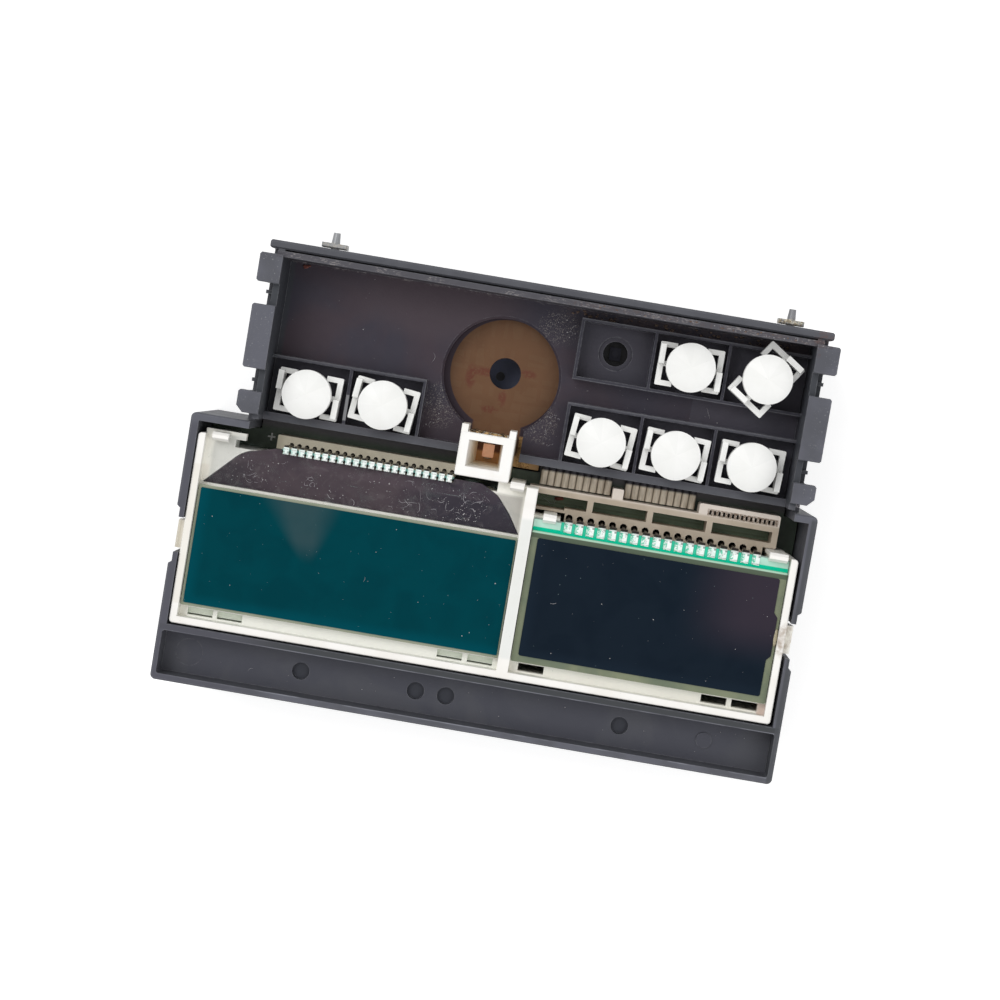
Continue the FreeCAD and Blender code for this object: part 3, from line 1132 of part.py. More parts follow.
def socket_shell():
    """Open-ended shroud of the wiring socket, with coding ribs inside."""
    x0, x1 = SOCKET_X0, SOCKET_X0 + SOCKET_W
    y0, y1 = SOCKET_Y0, SOCKET_Y0 + SOCKET_D
    w = SOCKET_WALL
    body = rounded(x0, x1, y0, y1, SOCKET_END_Z, BOARD_Z, 0.4)
    hollow = rounded(x0 + w, x1 - w, y0 + w, y1 - w, SOCKET_END_Z - 1.0, BOARD_Z - SOCKET_BASE, 0.2)
    shell = body.cut(hollow)
    ribs = []
    for part in SOCKET_RIBS_AT:
        x = x0 + SOCKET_W * part
        ribs.append(rounded(x, x + SOCKET_RIB, y0 + w - 0.3, y0 + w + SOCKET_RIB_REACH,
                            SOCKET_END_Z + 1.0, BOARD_Z - SOCKET_BASE + 0.3))
    return joined([shell] + ribs)


def socket_pins():
    """Square contact pins inside the wiring socket."""
    first = SOCKET_X0 + (SOCKET_W - SOCKET_PIN_PITCH * (SOCKET_PIN_COUNT - 1)) / 2
    y = SOCKET_Y0 + SOCKET_D / 2
    half = SOCKET_PIN / 2
    pins = []
    for n in range(SOCKET_PIN_COUNT):
        x = first + SOCKET_PIN_PITCH * n
        pin = rounded(x - half, x + half, y - half, y + half, SOCKET_PIN_TIP_Z, BOARD_Z - SOCKET_BASE)
        pins.append(eased_front(pin, SOCKET_PIN_TIP_Z, 0.2))
    return Part.makeCompound(pins)


os.makedirs("parts", exist_ok=True)
save("housing", housing())
save("rear_cover", rear_cover())
save("display_board", display_board())
save("knob_board", knob_board())
save("lcd_carrier", lcd_carrier())
save("left_diffuser", diffuser(left_window()))
save("right_diffuser", diffuser(right_window()))
save("left_light_shield", shield())
save("left_lcd_rear_glass", glass(LEFT_BAY_X0, DIVIDER_X0, LEFT_REAR_TOP, SEAT_Z))
save("left_lcd_front_glass", glass(LEFT_BAY_X0, DIVIDER_X0, LEFT_FRONT_TOP, REAR_GLASS_Z))
save("left_lcd_film", left_film())
save("right_lcd_rear_glass", glass(DIVIDER_X1, RIGHT_BAY_X1, RIGHT_REAR_TOP, SEAT_Z))
save("right_lcd_front_glass", glass(DIVIDER_X1, RIGHT_BAY_X1, RIGHT_FRONT_TOP, REAR_GLASS_Z))
save("right_lcd_film", right_film())
save("left_pins", pin_row(LEFT_PIN_X0, LEFT_PIN_PITCH, LEFT_PIN_COUNT, LEFT_PIN_W,
                          LEFT_REAR_TOP, PIN_REACH_LEFT))
save("right_pins", pin_row(RIGHT_PIN_X0, RIGHT_PIN_PITCH, RIGHT_PIN_COUNT, RIGHT_PIN_W,
                           RIGHT_REAR_TOP, PIN_REACH_RIGHT))
save("left_pin_strip", left_strip())
save("right_pin_frame", right_strip())
save("jumper_ribbon_left", jumper(JUMPER_X0S[0]))
save("jumper_ribbon_right", jumper(JUMPER_X0S[1]))
save("light_box", light_box())
save("light_box_led", led(BOX_LED_X, BOX_LED_Y))
for name, column, row, play_x, play_y, turn, on_ribs in GUIDES:
    lift = TRAY_FLOOR_Z + RIB_H - GUIDE_FRAME_Z0 if on_ribs else 0.0
    save(name, light_guide(cell_x(column) + play_x, cell_y(row) + play_y, turn, lift))
for number, (column, row) in enumerate(CELLS):
    save("cell_led_" + str(number + 1), led(cell_x(column), cell_y(row)))
save("top_peg_left", peg(PEG_LEFT_X))
save("top_peg_right", peg(PEG_RIGHT_X))
save("wiring_socket", socket_shell())
save("wiring_socket_pins", socket_pins())
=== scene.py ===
import logging
import math
import random
from dataclasses import dataclass, field
from enum import Enum

import bmesh
import bpy
from mathutils import Matrix, Vector


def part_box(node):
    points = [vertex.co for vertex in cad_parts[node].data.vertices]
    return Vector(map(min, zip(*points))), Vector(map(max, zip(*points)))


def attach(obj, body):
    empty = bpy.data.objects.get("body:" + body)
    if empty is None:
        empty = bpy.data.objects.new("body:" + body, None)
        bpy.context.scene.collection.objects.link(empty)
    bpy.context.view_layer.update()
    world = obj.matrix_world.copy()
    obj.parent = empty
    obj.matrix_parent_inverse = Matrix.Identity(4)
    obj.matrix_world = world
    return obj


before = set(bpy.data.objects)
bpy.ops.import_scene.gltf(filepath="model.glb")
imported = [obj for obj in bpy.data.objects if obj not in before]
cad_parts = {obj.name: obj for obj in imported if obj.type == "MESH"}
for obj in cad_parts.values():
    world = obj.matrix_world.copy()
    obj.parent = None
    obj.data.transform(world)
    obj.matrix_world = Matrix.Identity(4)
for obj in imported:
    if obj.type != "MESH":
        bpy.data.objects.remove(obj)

LOG = logging.getLogger("display_module")
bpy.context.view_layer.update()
MM = 0.001
MID_Y = 53.2
BODY = "root"

# Heights of the surfaces that small pieces lie on, in millimetres
BOARD_TOP = 12.0
TRAY_FLOOR = 17.0
CHANNEL_FLOOR = 25.5
GLASS_LEDGE = 29.1
PIN_TOP = 29.38
FILM_TOP = 30.4
RAIL_TOP = 31.0
# How far lumps sink into what they lie on
SINK = 0.02
# Heights between which the housing's tray, rims and rails take other colours, some of them painted
# light and shade
TRAY = (24.0, 17.5)
RIM = (31.6, 31.9)
RAIL = (30.2, 30.9)
# Heights between which the carrier's white turns to the cream of its ledges, lifted by painted light
LEDGE = (31.0, 29.5)

Point = tuple[float, float, float]
Colour = tuple[float, float, float, float]


class Slot(Enum):
    """The record's material slots."""

    HOUSING = "housing_plastic"
    WHITE = "white_plastic"
    BEIGE = "beige_plastic"
    GREY = "grey_plastic"
    GREEN_BOARD = "green_board"
    BROWN_BOARD = "brown_board"
    MILKY = "milky_sheet"
    GLASS = "display_glass"
    TEAL = "teal_film"
    DARK = "dark_film"
    METAL = "tinned_metal"
    LED = "led_body"


def paint(red: int, green: int, blue: int) -> Colour:
    """A colour as seen on a screen, turned into the renderer's linear numbers.

    Args:
        red: Red, 0 to 255.
        green: Green, 0 to 255.
        blue: Blue, 0 to 255.

    Returns:
        Linear red, green, blue and an alpha of one.
    """
    def linear(part: int) -> float:
        """One channel without its screen curve."""
        share = part / 255
        return share / 12.92 if share <= 0.04045 else ((share + 0.055) / 1.055) ** 2.4

    return linear(red), linear(green), linear(blue), 1.0


def place(x: float, y: float, z: float) -> Vector:
    """Module millimetres, Y counted from the bottom edge, as frame metres."""
    return Vector((x * MM, (y - MID_Y) * MM, z * MM))


@dataclass(frozen=True)
class Row:
    """A row of contact pins.

    Attributes:
        first: The first pin's middle along X.
        pitch: The pins' spacing.
        count: How many pins there are.
    """

    first: float
    pitch: float
    count: int

    def middle(self, number: float) -> float:
        """The middle of a pin along X; halves lie between two pins."""
        return self.first + self.pitch * number


LEFT_ROW = Row(-49.27, 1.784, 22)
RIGHT_ROW = Row(16.5, 2.53, 18)


class Sock:
    """A value in a shader tree; arithmetic on it adds Math nodes."""

    def __init__(self, tree: "Tree", socket: bpy.types.NodeSocket) -> None:
        """Keeps the tree and the output socket."""
        self.tree = tree
        self.socket = socket

    def apply(self, operation: str, *others: "Sock | float", swap: bool = False) -> "Sock":
        """Adds one Math node.

        Args:
            operation: The node's operation.
            others: The other operands.
            swap: Puts this value last.

        Returns:
            The node's result.
        """
        parts = [self, *others]
        if swap:
            parts.reverse()
        return self.tree.add("ShaderNodeMath", {"operation": operation}, dict(enumerate(parts)))

    def __add__(self, other: "Sock | float") -> "Sock":
        """Sum."""
        return self.apply("ADD", other)

    __radd__ = __add__

    def __mul__(self, other: "Sock | float") -> "Sock":
        """Product."""
        return self.apply("MULTIPLY", other)

    __rmul__ = __mul__

    def __sub__(self, other: "Sock | float") -> "Sock":
        """Difference."""
        return self.apply("SUBTRACT", other)

    def __rsub__(self, other: float) -> "Sock":
        """Difference from a number."""
        return self.apply("SUBTRACT", other, swap=True)

    def __truediv__(self, other: "Sock | float") -> "Sock":
        """Quotient."""
        return self.apply("DIVIDE", other)

    def __pow__(self, other: float) -> "Sock":
        """Power."""
        return self.apply("POWER", other)

    def __lt__(self, other: "Sock | float") -> "Sock":
        """One where this value is the lower."""
        return self.apply("LESS_THAN", other)

    def most(self, other: "Sock | float") -> "Sock":
        """The higher of two values."""
        return self.apply("MAXIMUM", other)

    def clip(self) -> "Sock":
        """Held between nought and one."""
        return self.tree.add("ShaderNodeClamp", values={0: self})

    def fade(self, start: float, end: float) -> "Sock":
        """A smooth step.

        Args:
            start: Where the step is nought.
            end: Where the step is one.

        Returns:
            The step, from nought to one.
        """
        if start > end:
            return 1 - self.fade(end, start)
        settings = {"interpolation_type": "SMOOTHSTEP"}
        return self.tree.add("ShaderNodeMapRange", settings, {0: self, 1: start, 2: end})

    def other(self, name: str) -> "Sock":
        """Another output of the same node."""
        return Sock(self.tree, self.socket.node.outputs[name])


@dataclass(frozen=True)
class Area:
    """A rectangle seen from the front that takes another colour.

    Attributes:
        x: Its two ends along X.
        y: Its two ends along Y.
        colour: The colour that it takes.
        share: How much of that colour.
        depth: The heights where the colour starts and is full, if there are any.
        soft: Half the width of its soft edge.
    """

    x: tuple[float, float]
    y: tuple[float, float]
    colour: Colour
    share: float = 1.0
    depth: tuple[float, float] | None = None
    soft: float = 0.1


class Tree:
    """The nodes of one material or world, with places given in module millimetres."""

    def __init__(self, name: str, shelf: bpy.types.bpy_prop_collection | None = None) -> None:
        """Makes an empty material, or a world.

        Args:
            name: Its name.
            shelf: Where Blender keeps its like, if it is no material.
        """
        self.made = (bpy.data.materials if shelf is None else shelf).new(name)
        self.made.use_nodes = True
        self.nodes = self.made.node_tree.nodes
        self.links = self.made.node_tree.links
        self.nodes.clear()
        metres = self.add("ShaderNodeTexCoord", out="Object")
        scaled = self.vector("SCALE", metres, {3: 1 / MM})
        self.spot = self.vector("ADD", scaled, {1: (0.0, MID_Y, 0.0)})
        self.x = self.add("ShaderNodeSeparateXYZ", values={0: self.spot}, out="X")
        self.y = self.x.other("Y")
        self.z = self.x.other("Z")

    def add(self, kind: str, settings: dict | None = None, values: dict | None = None,
            out: int | str = 0) -> Sock:
        """Adds any node.

        Args:
            kind: The node's type.
            settings: Its own settings; "stops" are a ramp's places and colours.
            values: Numbers, colours or links for its sockets, by name or number.
            out: The output that is handed back.

        Returns:
            That output.
        """
        node = self.nodes.new(kind)
        for key, value in (settings or {}).items():
            if key == "stops":
                ramp = node.color_ramp.elements
                while len(ramp) < len(value):
                    ramp.new(1.0)
                for stop, (at, colour) in zip(ramp, value):
                    stop.position, stop.color = at, colour
            else:
                setattr(node, key, value)
        for key, value in (values or {}).items():
            if isinstance(value, Sock):
                self.links.new(value.socket, node.inputs[key])
            else:
                node.inputs[key].default_value = value
        return Sock(self, node.outputs[out]) if node.outputs else Sock(self, node.inputs[0])

    def vector(self, operation: str, first: Sock, values: dict, out: int | str = 0) -> Sock:
        """A Vector Math node on one vector and what else it takes."""
        return self.add("ShaderNodeVectorMath", {"operation": operation}, {0: first, **values}, out)

    def mix(self, share: "Sock | float", first: "Sock | Colour", second: "Sock | Colour",
            blend: str = "MIX") -> Sock:
        """Blends two colours.

        Args:
            share: How much of the second.
            first: The colour at nought.
            second: The colour at one.
            blend: The way they combine.

        Returns:
            The blended colour.
        """
        settings = {"data_type": "RGBA", "blend_type": blend}
        return self.add("ShaderNodeMix", settings, {0: share, 6: first, 7: second}, out=2)

    def noise(self, scale: float, detail: float = 3.0, stretch: Point = (1.0, 1.0, 1.0),
              turn: float = 0.0, warp: float = 0.0) -> Sock:
        """Cloudy noise.

        Args:
            scale: Features to the millimetre.
            detail: Finer octaves.
            stretch: Scale along each axis.
            turn: Turn about Z in degrees, before the stretch.
            warp: Distortion.

        Returns:
            A value about one half.
        """
        where = self.spot
        if stretch != (1.0, 1.0, 1.0) or turn:
            tilt = (0.0, 0.0, math.radians(turn))
            where = self.add("ShaderNodeMapping", values={0: where, 2: tilt, 3: stretch})
        return self.add("ShaderNodeTexNoise", values={
            "Vector": where, "Scale": scale, "Detail": detail, "Distortion": warp})

    def specks(self, scale: float, size: float, share: float) -> Sock:
        """Scattered small dots.

        Args:
            scale: Cells to the millimetre.
            size: A dot's radius in cells.
            share: The share of cells that hold one.

        Returns:
            One inside a dot.
        """
        cell = self.add("ShaderNodeTexVoronoi", values={"Vector": self.spot, "Scale": scale})
        drawn = self.add("ShaderNodeSeparateColor", values={0: cell.other("Color")})
        reach = drawn.other("Green") * size
        return (cell < reach) * (drawn < share)

    def patch(self, x0: float, x1: float, y0: float, y1: float, soft: float) -> Sock:
        """A rectangle seen from the front, with soft edges."""
        across = self.x.fade(x0 - soft, x0 + soft) * self.x.fade(x1 + soft, x1 - soft)
        return across * self.y.fade(y0 - soft, y0 + soft) * self.y.fade(y1 + soft, y1 - soft)

    def lay(self, colour: Sock, *areas: Area) -> Sock:
        """Lays areas over a colour, one after the other.

        Args:
            colour: The colour below.
            areas: The areas.

        Returns:
            The colour with the areas on it.
        """
        for area in areas:
            mask = self.patch(*area.x, *area.y, area.soft)
            if area.depth is not None:
                mask = mask * self.z.fade(*area.depth)
            colour = self.mix(mask * area.share, colour, area.colour)
        return colour

    def blot(self, x: float, y: float, rx: float, ry: float, soft: float = 0.5) -> Sock:
        """An oval seen from the front; soft is the share of it that fades."""
        away = ((self.x - x) / rx) ** 2 + ((self.y - y) / ry) ** 2
        return away.fade(1.0, 1.0 - soft)

    def edges(self, radius: float) -> Sock:
        """One along sharp edges.

        Args:
            radius: How far it reaches from an edge, in millimetres.

        Returns:
            The mask.
        """
        round_normal = self.add("ShaderNodeBevel", {"samples": 4}, {"Radius": radius * MM})
        true_normal = self.add("ShaderNodeNewGeometry", out="Normal")
        alike = self.vector("DOT_PRODUCT", round_normal, {1: true_normal}, "Value")
        return (1 - alike).fade(0.01, 0.16)

    def finish(self, values: dict, height: Sock | None = None, relief: float = 0.0,
               depth: float = 0.1) -> bpy.types.Material:
        """Closes the tree with its shader.

        Args:
            values: The shader's sockets.
            height: The relief, if there is one.
            relief: Its strength.
            depth: Its depth in millimetres.

        Returns:
            The finished material.
        """
        values = dict(values)
        if height is not None:
            values["Normal"] = self.add("ShaderNodeBump", values={
                "Strength": relief, "Distance": depth * MM, "Height": height})
        shader = self.add("ShaderNodeBsdfPrincipled", values=values)
        self.add("ShaderNodeOutputMaterial", values={0: shader})
        return self.made


@dataclass(frozen=True)
class Finish:
    """A surface: its colour drifts a little and its grain shows in gloss and relief.

    Attributes:
        name: The material's name.
        colour: The main colour.
        drift: The colour it drifts towards.
        rough: Roughness.
        grain: Strength of the fine relief.
        grain_scale: Grains to the millimetre.
        specular: Strength of the surface reflection.
        metal: Metalness.
        coat: Weight of a clear gloss on top.
        wear_and_highlight: The colour of sharp edges, lighter partly from wear and partly as a painted
            highlight, if they show.
        dust: The share of pale dust.
    """

    name: str
    colour: Colour
    drift: Colour
    rough: float = 0.5
    grain: float = 0.15
    grain_scale: float = 6.0
    specular: float = 0.3
    metal: float = 0.0
    coat: float = 0.0
    wear_and_highlight: Colour | None = None
    dust: float = 0.0

    def tone(self, tree: Tree) -> Sock:
        """The colour before the edge wear and painted edge highlight and the dust."""
        return tree.mix(tree.noise(0.12, 4.0, warp=0.6).fade(0.35, 0.7), self.colour, self.drift)

    def gloss(self, tree: Tree) -> Sock:
        """The roughness."""
        return (tree.noise(0.5, 4.0) - 0.5) * 0.25 + self.rough

    def relief(self, tree: Tree) -> Sock:
        """The height of the fine grain."""
        return tree.noise(self.grain_scale, 3.0)

    def extra(self, tree: Tree) -> dict:
        """Further sockets of the shader."""
        return {}

    def make(self) -> bpy.types.Material:
        """Builds the material."""
        tree = Tree(self.name)
        colour, rough = self.tone(tree), self.gloss(tree)
        if self.wear_and_highlight is not None:
            # Sharp edges turn lighter: partly wear, partly a painted highlight along the edges.
            worn_and_lit_edges = tree.edges(0.35) * tree.noise(0.9, 3.0).fade(0.3, 0.65)
            colour = tree.mix(worn_and_lit_edges * 0.6, colour, self.wear_and_highlight)
        if self.dust:
            film = tree.noise(0.25, 5.0, warp=1.0).fade(0.45, 0.8) * self.dust
            lint = tree.specks(1.6, 0.22, 0.35)
            colour = tree.mix((film + lint * self.dust).clip(), colour, paint(150, 146, 140))
            rough = (rough + film * 0.3).clip()
        return tree.finish({
            "Base Color": colour, "Roughness": rough, "Metallic": self.metal,
            "Specular IOR Level": self.specular, "Coat Weight": self.coat, **self.extra(tree),
        }, self.relief(tree), self.grain)


@dataclass(frozen=True)
class HousingFinish(Finish):
    """Black moulded plastic of the housing, with its tray, channel, dust and residue."""

    def tone(self, tree: Tree) -> Sock:
        """Blue-black outside, purple-brown on the tray's floor as partly a painted sheen, lighter on
        the rims as partly a painted highlight, with painted light lifting parts of the tray and painted
        shade on its side walls.
        """
        colour = super().tone(tree)
        cloud = tree.noise(0.05, 4.0, warp=0.8)
        in_tray = tree.patch(-57.5, 66.0, 63.0, 99.5, 0.5) * tree.z.fade(*TRAY)
        # Partly painted sheen: the tray's floor takes a purple-brown tint.
        floor = tree.mix(cloud.fade(0.35, 0.65), paint(62, 52, 60), paint(54, 51, 62))
        colour = tree.mix(in_tray, colour, floor)
        # Painted light: the upper middle of the tray's floor is lifted lighter.
        upper = tree.blot(-22.0, 96.0, 26.0, 12.0, 0.9)
        colour = tree.mix(upper * in_tray, colour, paint(71, 61, 68))
        # Painted light and shade: the cell floors are lifted lighter and the rib tops painted darker.
        cells = (tree.patch(11.8, 64.6, 64.0, 77.0, 0.2) + tree.patch(11.8, 64.6, 83.0, 96.6, 0.2)
                 + tree.patch(-56.0, -21.0, 64.0, 76.6, 0.2)).clip()
        colour = tree.mix(cells * tree.z.fade(21.8, 21.0) * 0.8, colour, paint(62, 61, 70))
        colour = tree.mix(cells * tree.z.fade(21.0, 21.8), colour, paint(50, 49, 58))
        # Painted light: the floor between the cell rows is lifted lighter.
        between = Area((40.0, 64.6), (77.2, 82.8), paint(70, 68, 78), 0.7, TRAY, 0.2)
        colour = tree.lay(colour, between)
        channel = tree.patch(-70.1, 70.1, 1.6, 11.4, 0.1) * tree.z.fade(31.0, 26.5)
        trough = tree.mix(cloud.fade(0.4, 0.6), paint(75, 76, 85), paint(82, 83, 90))
        colour = tree.mix(channel, colour, trough)
        # Painted light: the insides of the channel's holes are lifted to a dark grey.
        holes = Area((-70.0, 60.0), (4.0, 9.0), paint(62, 64, 72), depth=(24.7, 24.4))
        colour = tree.lay(colour, holes)
        # Painted shade: the tray's side walls below the tabs are darkened.
        sides = (tree.x.fade(-54.9, -55.9) + tree.x.fade(63.9, 64.9)).clip()
        walls = sides * tree.patch(-59.0, 68.0, 63.0, 99.0, 0.3) * tree.z.fade(31.0, 30.4)
        return self.residue(tree, self.rims(tree, tree.mix(walls * 0.8, colour, paint(54, 57, 62))))

    def rims(self, tree: Tree, colour: Sock) -> Sock:
        """Rims lighter and mottled, partly a painted highlight, with pale lines along the channel that
        are partly wear and partly painted highlight, darker strips and sides.
        """
        # Partly painted highlight: the rims are lighter and mottled.
        rim = tree.z.fade(*RIM)
        mottle = tree.noise(0.09, 3.0).fade(0.4, 0.62)
        colour = tree.mix(rim * 0.7, colour, tree.mix(mottle, paint(86, 87, 94), paint(100, 101, 111)))
        # Pale lines along the channel's edges: partly wear, partly a painted highlight.
        line = tree.patch(-70.0, 70.0, 11.1, 11.6, 0.12) + tree.patch(-70.0, 70.0, 1.3, 1.9, 0.12)
        line = line.clip() * tree.noise(0.35, 4.0, (0.5, 3.0, 1.0)).fade(0.4, 0.6)
        colour = tree.mix(line * rim * 0.8, colour, paint(140, 142, 152))
        colour = tree.lay(colour, Area((-71.0, 71.0), (11.7, 12.9), paint(62, 64, 67), depth=RIM))
        right_side = tree.x.fade(69.9, 70.2) * tree.y.fade(61.0, 60.0)
        colour = tree.mix(right_side * 0.85, colour, paint(72, 74, 78))
        left_rim = rim * tree.x.fade(-40.0, -56.0) * tree.y.fade(60.0, 58.0)
        colour = tree.mix(left_rim * 0.8, colour, paint(80, 80, 89))
        return tree.lay(colour, Area((-58.0, 68.0), (98.8, 100.4), paint(72, 68, 74), 0.5))

    def residue(self, tree: Tree, colour: Sock) -> Sock:
        """Dust round the knob opening, brown remains along the bar, a painted highlight on a cell
        divider, scuffs and rust.
        """
        flecks = (tree.specks(3.4, 0.4, 0.7) + tree.specks(1.9, 0.3, 0.45)
                  + tree.noise(1.6, 6.0, warp=2.5).fade(0.58, 0.64) * 0.6).clip()
        round_dial = (tree.blot(-16.8, 71.8, 5.6, 6.5, 0.8) + tree.blot(6.0, 71.4, 5.0, 6.0, 0.8)
                      + tree.blot(7.0, 94.0, 6.0, 5.0, 0.8)).clip() * tree.z.fade(*TRAY)
        colour = tree.mix(round_dial * flecks * 0.75, colour, paint(146, 140, 134))
        faces = tree.z.fade(*RAIL).most(tree.z.fade(18.0, 17.3))
        bar = tree.patch(8.0, 66.0, 96.2, 100.9, 0.6) * tree.noise(0.8, 5.0, warp=1.5).fade(0.48, 0.62)
        colour = tree.mix(bar * faces * 0.4, colour, paint(88, 74, 72))
        fluff = tree.noise(1.1, 6.0, (0.6, 2.0, 1.0), warp=2.0).fade(0.56, 0.62)
        fluff = fluff * tree.patch(-56.0, 67.0, 98.6, 101.4, 0.5)
        fluff = fluff * tree.noise(0.12, 2.0).fade(0.4, 0.55)
        colour = tree.mix(fluff * faces * 0.6, colour, paint(158, 152, 150))
        # Painted highlight: the top of one cell divider is lit grey.
        divider_highlight = Area((-39.3, -37.7), (64.7, 70.6), paint(146, 146, 148), 0.8, (20.6, 21.4))
        colour = tree.lay(colour, divider_highlight)
        rust = tree.noise(0.6, 4.0, warp=1.0).fade(0.42, 0.62)
        rust = rust * tree.patch(64.0, 69.0, 99.5, 103.0, 0.7)
        colour = tree.mix(rust * 0.4, colour, paint(104, 70, 58))
        sides = tree.x.fade(-56.0, -57.0).most(tree.x.fade(66.0, 67.0)) * tree.y.fade(62.0, 64.0)
        sides = sides * tree.z.fade(*RAIL)
        nicks = (tree.specks(2.4, 0.3, 0.16) + tree.noise(1.8, 5.0, warp=3.0).fade(0.64, 0.7)).clip()
        colour = tree.mix(sides * nicks * 0.5, colour, paint(158, 160, 162))
        wavy = tree.noise(0.5, 4.0, (0.5, 2.0, 1.0), warp=2.0).fade(0.45, 0.6)
        wavy = wavy * tree.y.fade(100.8, 101.2) * tree.z.fade(*RAIL)
        colour = tree.mix(wavy * 0.4, colour, paint(122, 122, 124))
        scuff = tree.blot(67.4, 62.8, 1.2, 0.5, 0.9) * tree.noise(3.0, 2.0).fade(0.4, 0.6)
        return tree.mix(scuff, colour, paint(205, 200, 205))


@dataclass(frozen=True)
class CarrierFinish(Finish):
    """White moulded plastic of the display carrier, creamier on its ledges, which are lifted by painted
    light.

    Attributes:
        areas: Its ledges, corners, pockets and sides that take other colours; the lower ledge and the
            pockets are painted light, the left lug painted shade.
    """

    areas: tuple[Area, ...] = ()

    def tone(self, tree: Tree) -> Sock:
        """White rims over cream ledges lifted by painted light, the areas, a stained lug and a little
        grime.
        """
        # Painted light: the ledges below the rims are lifted to a light cream.
        colour = tree.mix(tree.z.fade(*LEDGE) * 0.75, super().tone(tree), paint(250, 248, 238))
        colour = tree.lay(colour, *self.areas)
        stain = tree.blot(68.6, 32.8, 2.4, 4.6, 0.6) * tree.noise(0.7, 3.0).fade(0.25, 0.75)
        colour = tree.mix(stain * tree.z.fade(26.0, 29.0) * 0.75, colour, paint(150, 128, 104))
        grime = tree.specks(1.2, 0.15, 0.3)
        return tree.mix(grime * 0.25, colour, paint(150, 145, 135))


@dataclass(frozen=True)
class CoverFinish(Finish):
    """Black plastic of the rear cover, lifted bluish by painted light where it is seen through the
    shaft hole.
    """

    def tone(self, tree: Tree) -> Sock:
        """Black with a bluish spot of painted light."""
        # Painted light: the cover's face deep behind the shaft hole is lifted bluish so it shows.
        spot = tree.blot(-3.7, 81.3, 7.0, 7.0, 0.2) * tree.z.fade(1.5, 1.9)
        return tree.mix(spot, super().tone(tree), paint(98, 103, 126))


@dataclass(frozen=True)
class GuideFinish(Finish):
    """White plastic of one light guide: its domed head is faintly facetted.

    Attributes:
        at: The head's middle.
        turn: How far the guide is turned, in degrees.
    """

    at: tuple[float, float] = (0.0, 0.0)
    turn: float = 0.0

    def wedges(self, tree: Tree) -> Sock:
        """A value for each radial wedge round the head's middle."""
        dx, dy = tree.x - self.at[0], tree.y - self.at[1]
        angle = dy.apply("ARCTAN2", dx) / (2 * math.pi) + self.turn / 360 + 1
        step = (angle * 12.0).apply("FLOOR")
        return tree.add("ShaderNodeTexWhiteNoise", {"noise_dimensions": "1D"}, {"W": step})

    def tone(self, tree: Tree) -> Sock:
        """White, with painted shading that differs from wedge to wedge on the head and painted shade
        greying the lower frame.
        """
        colour = super().tone(tree)
        head = tree.z.fade(23.0, 23.6)
        # Painted shading: the head's wedges are shaded a little differently, as facets catch the light.
        colour = tree.mix(self.wedges(tree) * head * 0.35, colour, paint(238, 239, 236))
        # Painted shade: the lower parts of the frame turn greyer.
        low = tree.z.fade(20.0, 17.0)
        colour = tree.mix(low * 0.4, colour, paint(190, 188, 186))
        grime = tree.specks(1.1, 0.13, 0.25) * (1 - head * 0.6)
        return tree.mix(grime * 0.3, colour, paint(150, 142, 134))

    def relief(self, tree: Tree) -> Sock:
        """A faint step from wedge to wedge over the grain."""
        return super().relief(tree) + self.wedges(tree) * 0.35


@dataclass(frozen=True)
class RibbonFinish(Finish):
    """Ribbed jumper ribbon: pale ridges over darker grooves.

    Attributes:
        groove: The grooves' colour.
        low: The height of the grooves.
        high: The height of the ridges.
    """

    groove: Colour = (0.1, 0.1, 0.1, 1.0)
    low: float = 13.4
    high: float = 14.1

    def tone(self, tree: Tree) -> Sock:
        """Pale on top, dark below, with a painted shadow of the tray wall over the upper end."""
        streaks = tree.noise(0.8, 3.0, (3.0, 0.4, 1.0))
        colour = tree.mix(streaks.fade(0.4, 0.65), self.colour, self.drift)
        colour = tree.mix(tree.z.fade(self.high, self.low), colour, self.groove)
        # Painted shadow: the tray wall's shadow darkens the upper end.
        return tree.mix(tree.y.fade(60.5, 61.1), colour, paint(50, 48, 54))


